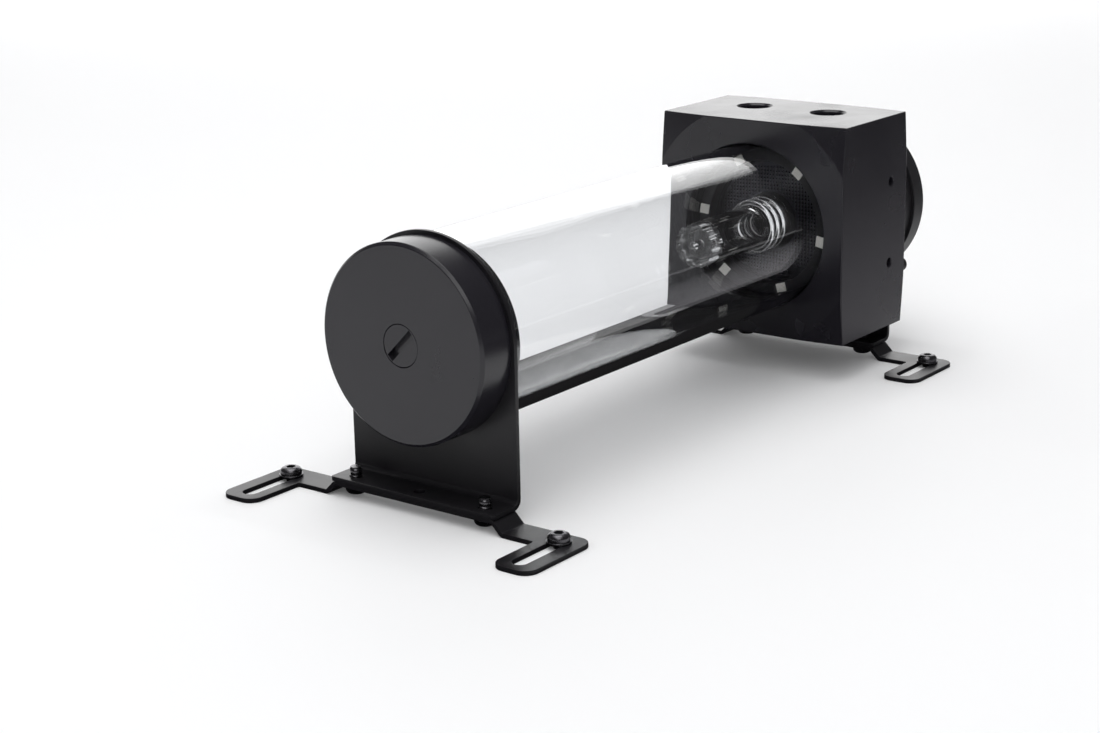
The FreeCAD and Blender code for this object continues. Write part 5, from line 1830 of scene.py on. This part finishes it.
@dataclass
class Fasteners:
    """Every screw and washer."""

    head_r: float = 3.4
    head_h: float = 2.3
    shank_r: float = 1.95
    foot_screw_y: float = FOOT_SCREW_Y
    foot_screw_setback: float = FOOT_SCREW_SETBACK
    slot_shift: float = 8.5
    slot_y: float = SLOT_Y
    sheet: float = SHEET_T
    washer_r: float = 3.8
    washer_t: float = 0.8
    washer_hole: float = SCREW_HOLE_R
    washer_edge: float = 0.15
    foot_z: float = FOOT_Z
    tip: float = 3.2
    pump_screw: float = PUMP_SCREW_HALF
    pump_face: float = 134.0
    pump_reach: float = 15.5

    def sizes(self, length: float, turn: tuple[float, float, float]) -> dict[str, object]:
        """Values of the screw tree for one set of screws.

        Args:
            length: Length of the shank in millimetres.
            turn: Turn of the screws in radians.

        Returns:
            The tree's sizes.
        """
        return {
            "Head Radius": self.head_r * MM, "Head Height": self.head_h * MM,
            "Shank Radius": self.shank_r * MM, "Shank Length": length * MM, "Turn": turn,
        }

    def screws(self, tree: RepeatTree, name: str, spots: Sequence[Vector], length: float,
               turn: tuple[float, float, float], node: str) -> None:
        """Make one set of screws in place of its CAD node.

        Args:
            tree: The tree that makes screws.
            name: The piece's name.
            spots: Where the undersides of their heads are, in millimetres.
            length: Length of the shank in millimetres.
            turn: Turn of the screws in radians.
            node: The CAD node that they stand for.
        """
        made = tree.grow(name, spots, self.sizes(length, turn), DARK_STEEL)
        finished(shaded(made, 40.0, weighted=False), DARK_STEEL, Body.RESERVOIR, [node])

    def washers(self, side: Side) -> None:
        """Make the washers under the slot screws.

        Args:
            side: The end that they are on.
        """
        work_name = f"{side.value}_washers"
        hole, rim, top = self.washer_hole, self.washer_r, self.washer_t
        outline = softened(((0.0, hole), (top, hole), (top, rim), (0.0, rim)), self.washer_edge)
        pieces = []
        for sign in (-1, 1):
            base = Vector((side.slot_x + self.slot_shift, sign * self.slot_y, self.sheet))
            pieces.append(turned_cutter(work_name, outline, base, Vector((0, 0, 1)), 64))
        work = bmesh.new()
        for piece in pieces:
            work.from_mesh(piece.data)
            bpy.data.objects.remove(piece)
        mesh = bpy.data.meshes.new(work_name)
        work.to_mesh(mesh)
        work.free()
        made = shaded(link_mesh(work_name, mesh))
        finished(made, DARK_STEEL, Body.RESERVOIR, [f"{side.value}_slot_washers"])

    def build(self, tree: RepeatTree) -> None:
        """Make every set.

        Args:
            tree: The tree that makes screws.
        """
        upright, upside_down, facing_out = (0.0, 0.0, 0.0), (math.pi, 0.0, 0.0), (0.0, math.pi / 2, 0.0)
        for side in Side:
            x = side.plate_x - self.foot_screw_setback
            under = self.foot_z - self.sheet
            spots = [Vector((x, sign * self.foot_screw_y, under)) for sign in (-1, 1)]
            length = 2 * self.sheet + self.tip
            end = side.value
            self.screws(tree, f"{end}_foot_screws", spots, length, upside_down, f"{end}_bracket_screws")
            top = self.sheet + self.washer_t
            spots = [Vector((side.slot_x + self.slot_shift, sign * self.slot_y, top)) for sign in (-1, 1)]
            self.screws(tree, f"{end}_plate_screws", spots, top, upright, f"{end}_slot_screws")
            self.washers(side)
        corners = [(y * self.pump_screw, z * self.pump_screw) for y in (-1, 1) for z in (-1, 1)]
        spots = [Vector((self.pump_face, y, AXIS_Z + z)) for y, z in corners]
        self.screws(tree, "pump_flange_screws", spots, self.pump_reach, facing_out, "pump_screws")


WHITE = (1.0, 1.0, 1.0, 1.0)


@dataclass(frozen=True)
class Softbox:
    """Rectangular lamp: its place and size in metres and its power in watts."""

    name: str
    spot: Corner
    size: Point2
    power: float

    def hang(self, target: Vector) -> None:
        """Add the lamp.

        Args:
            target: What it faces, in metres.
        """
        lamp = bpy.data.lights.new(self.name, "AREA")
        lamp.shape = "RECTANGLE"
        lamp.size, lamp.size_y = self.size
        lamp.energy = self.power
        holder = bpy.data.objects.new(self.name, lamp)
        spot = Vector(self.spot)
        turn = (spot - target).to_track_quat("Z", "Y").to_matrix().to_4x4()
        holder.matrix_world = Matrix.Translation(spot) @ turn
        holder.visible_camera = False
        bpy.context.scene.collection.objects.link(holder)


SOFTBOXES = (
    Softbox("overhead", (-0.1, 0.1, 1.3), (1.2, 1.0), 9.0),
    Softbox("back_window", (1.1, 0.85, 0.5), (1.6, 1.1), 5.5),
    Softbox("front_fill", (-1.0, -0.65, 1.1), (0.9, 0.9), 5.0),
)


@dataclass
class Studio:
    """Camera, floor, world, lamps and the cards that only reflections see.

    The camera, the under card and the height of both cards are placed in millimetres, and the floor's
    size, the right card's X and Y and the aim of the lamps are in metres.
    """

    azimuth: float = -52.65
    elevation: float = 15.97
    roll: float = -1.07
    distance: float = 673.0
    aim: tuple[float, float, float] = (-43.95, -4.65, 31.84)
    lens: float = 69.66
    sensor: float = 36.0
    lamp_aim: Corner = (0.0, 0.0, 0.05)
    sky_colour: tuple[float, ...] = (0.97, 0.975, 1.0, 1.0)
    sky_level: float = 0.45
    floor_colour: tuple[float, ...] = (0.9, 0.9, 0.9, 1.0)
    floor_glow: float = 0.06
    floor_size: float = 6.0
    card_colour: tuple[float, ...] = (0.97, 0.95, 1.0, 1.0)
    card_z: float = 0.05
    under_x: Point2 = (-140.0, 150.0)
    under_half: float = 62.0
    under_level: float = 0.012
    right_x: Point2 = (0.06, 1.2)
    right_edge: float = -1.2
    right_fade: float = -0.24
    right_levels: Point2 = (0.04, 0.55)
    room_level: float = 0.1
    window_turn: Point2 = (12.0, 78.0)
    window_top: float = 38.0

    def axes(self) -> tuple[Vector, Vector, Vector]:
        """Turn the three angles into directions.

        Returns:
            Right, up and back of the camera, the roll included.
        """
        a, e, r = (math.radians(v) for v in (self.azimuth, self.elevation, self.roll))
        back = Vector((math.sin(a) * math.cos(e), -math.cos(a) * math.cos(e), math.sin(e)))
        right = Vector((math.cos(a), math.sin(a), 0.0))
        up = back.cross(right)
        return right * math.cos(r) + up * math.sin(r), up * math.cos(r) - right * math.sin(r), back

    def camera(self) -> None:
        """Stand the camera where the photograph was taken from."""
        lens = bpy.data.cameras.new("camera")
        lens.lens = self.lens
        lens.sensor_width = self.sensor
        lens.sensor_fit = "HORIZONTAL"
        lens.clip_start = 0.01
        lens.clip_end = 20.0
        holder = bpy.data.objects.new("camera", lens)
        right, up, back = self.axes()
        turn = Matrix((right, up, back)).transposed().to_4x4()
        spot = (Vector(self.aim) + back * self.distance) * MM
        holder.matrix_world = Matrix.Translation(spot) @ turn
        bpy.context.scene.collection.objects.link(holder)
        bpy.context.scene.camera = holder

    def seen(self, build: TreeBuilder) -> bpy.types.NodeSocket:
        """Pick out camera, glossy and transmission rays.

        Args:
            build: Builder of the tree that needs the mask.

        Returns:
            The mask.
        """
        path = build.node("ShaderNodeLightPath")
        either = build.maths("MAXIMUM", path.outputs["Is Camera Ray"], path.outputs["Is Glossy Ray"])
        return build.maths("MAXIMUM", either, path.outputs["Is Transmission Ray"])

    def world(self) -> None:
        """White surroundings at a plain light level."""
        world = bpy.data.worlds.new("studio")
        bpy.context.scene.world = world
        world.use_nodes = True
        build = TreeBuilder(world.node_tree)
        dim = world.node_tree.nodes["Background"]
        dim.inputs["Color"].default_value = self.sky_colour
        dim.inputs["Strength"].default_value = self.sky_level
        white = build.node("ShaderNodeBackground", {"Color": WHITE, "Strength": 1.0})
        mix = build.node("ShaderNodeMixShader", {0: self.seen(build), 1: dim.outputs[0], 2: white.outputs[0]})
        build.link(mix.outputs[0], world.node_tree.nodes["World Output"].inputs["Surface"])

    def floor(self) -> None:
        """Pale floor that keeps the object's shadow."""
        work = bmesh.new()
        bmesh.ops.create_grid(work, x_segments=1, y_segments=1, size=self.floor_size)
        mesh = bpy.data.meshes.new("floor")
        work.to_mesh(mesh)
        work.free()
        floor = link_mesh("floor", mesh)
        made = bpy.data.materials.new("pale_floor")
        made.use_nodes = True
        build = TreeBuilder(made.node_tree)
        shader = made.node_tree.nodes["Principled BSDF"]
        cloud = build.noise(build.place(), 30.0, 3.0)
        build.link(build.ramp(cloud, (0.0, 1.0), (0.55, 0.65)), shader.inputs["Roughness"])
        shader.inputs["Base Color"].default_value = self.floor_colour
        shader.inputs["Specular IOR Level"].default_value = 0.1
        glow = build.node("ShaderNodeEmission", {"Color": WHITE})
        build.link(build.maths("MULTIPLY", self.seen(build), self.floor_glow), glow.inputs["Strength"])
        both = build.node("ShaderNodeAddShader", {0: shader.outputs[0], 1: glow.outputs[0]})
        build.link(both.outputs[0], made.node_tree.nodes["Material Output"].inputs["Surface"])
        floor.data.materials.append(made)

    def card(
        self, name: str, corners: Sequence[Vector], faces: Sequence[Sequence[int]], levels: Point2,
        reach: Point2 = (0.0, 1.0),
    ) -> None:
        """Stand a dark card that only reflections and clear parts see.

        Args:
            name: The card's name.
            corners: Its corners in metres.
            faces: Its faces, as numbers of corners.
            levels: How bright it looks at the start and the end of the reach, where 1 is white.
            reach: The two Y values in metres between which it changes.
        """
        mesh = bpy.data.meshes.new(name)
        mesh.from_pydata([tuple(corner) for corner in corners], [], [list(face) for face in faces])
        card = link_mesh(name, mesh)
        made = bpy.data.materials.new(name)
        made.use_nodes = True
        build = TreeBuilder(made.node_tree)
        made.node_tree.nodes.remove(made.node_tree.nodes["Principled BSDF"])
        across = build.node("ShaderNodeSeparateXYZ", {0: build.place()}).outputs[1]
        level = build.ramp(across, reach, levels)
        glow = build.node("ShaderNodeEmission", {"Color": self.card_colour, "Strength": level})
        build.link(glow.outputs[0], made.node_tree.nodes["Material Output"].inputs["Surface"])
        card.data.materials.append(made)
        card.visible_camera = False
        card.visible_diffuse = False
        card.visible_shadow = False

    def under_card(self) -> None:
        """Lay the dark card under the tube that gives the glass its dark lower bands."""
        (x_low, x_high), half = self.under_x, self.under_half
        spots = ((x_low, -half), (x_high, -half), (x_high, half), (x_low, half))
        ends = [Vector((x, y, self.card_z)) * MM for x, y in spots]
        self.card("under_card", ends, [(0, 1, 2, 3)], (self.under_level, self.under_level))

    def right_card(self) -> None:
        """Lay the card to the right of the block, darker further out, that the block's side reflects."""
        (x_low, x_high), edge, near = self.right_x, self.right_edge, -self.under_half * MM
        spots = ((x_low, near), (x_high, near), (x_high, edge), (x_low, edge))
        ends = [Vector((x, y, self.card_z * MM)) for x, y in spots]
        self.card("right_card", ends, [(0, 1, 2, 3)], self.right_levels, (self.right_fade, near))

    def dark_room(self, steps: int = 72, rows: int = 18, radius: float = 3.0) -> None:
        """Close the room in dark, with a window to the white ground behind the object.

        Args:
            steps: Faces round the room.
            rows: Faces from the floor to the top.
            radius: The room's radius in metres.
        """
        low, high = self.window_turn
        corners = []
        for row in range(rows + 1):
            rise = math.pi / 2 * row / rows
            for step in range(steps):
                turn = 2 * math.pi * step / steps
                flat = math.cos(rise)
                out = Vector((math.cos(turn) * flat, math.sin(turn) * flat, math.sin(rise)))
                corners.append(out * radius)
        faces = []
        for row in range(rows):
            for step in range(steps):
                turn = 360.0 * (step + 0.5) / steps
                window = low < turn < high and 90.0 * (row + 0.5) / rows < self.window_top
                if not window:
                    here, above, far = row * steps, (row + 1) * steps, (step + 1) % steps
                    faces.append((here + step, here + far, above + far, above + step))
        self.card("dark_room", corners, faces, (self.room_level, self.room_level))

    def build(self) -> None:
        """Set up the whole studio."""
        self.camera()
        self.world()
        self.floor()
        self.under_card()
        self.right_card()
        self.dark_room()
        for lamp in SOFTBOXES:
            lamp.hang(Vector(self.lamp_aim))
        bpy.context.scene.view_settings.view_transform = "Standard"


def dress_nodes() -> None:
    """Give every CAD node its procedural finish."""
    for name, finish in NODE_FINISHES.items():
        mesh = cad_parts[name].data
        mesh.materials.clear()
        mesh.materials.append(finish.material())


def main() -> None:
    """Build every sub-assembly in order and report each piece."""
    logging.basicConfig(level=logging.INFO, format="%(message)s")
    dress_nodes()
    Studio().build()
    screws = socket_screw_tree()
    threads = thread_tree()
    for side in Side:
        BridgePlate(side).build()
        AngleBracket(side).build()
    EndCap().build()
    GlassTube().build()
    block = PumpBlock()
    block.build()
    block.build_threads(threads)
    riser = ClearRiser()
    riser.build_pipe()
    riser.build_diffuser(fluted_tree())
    suction = SuctionEnd()
    suction.build_sieve(sieve_tree())
    suction.build_ring()
    suction.build_chips()
    PumpEnd().build()
    Fasteners().build(screws)


if __name__ == "__main__":
    main()
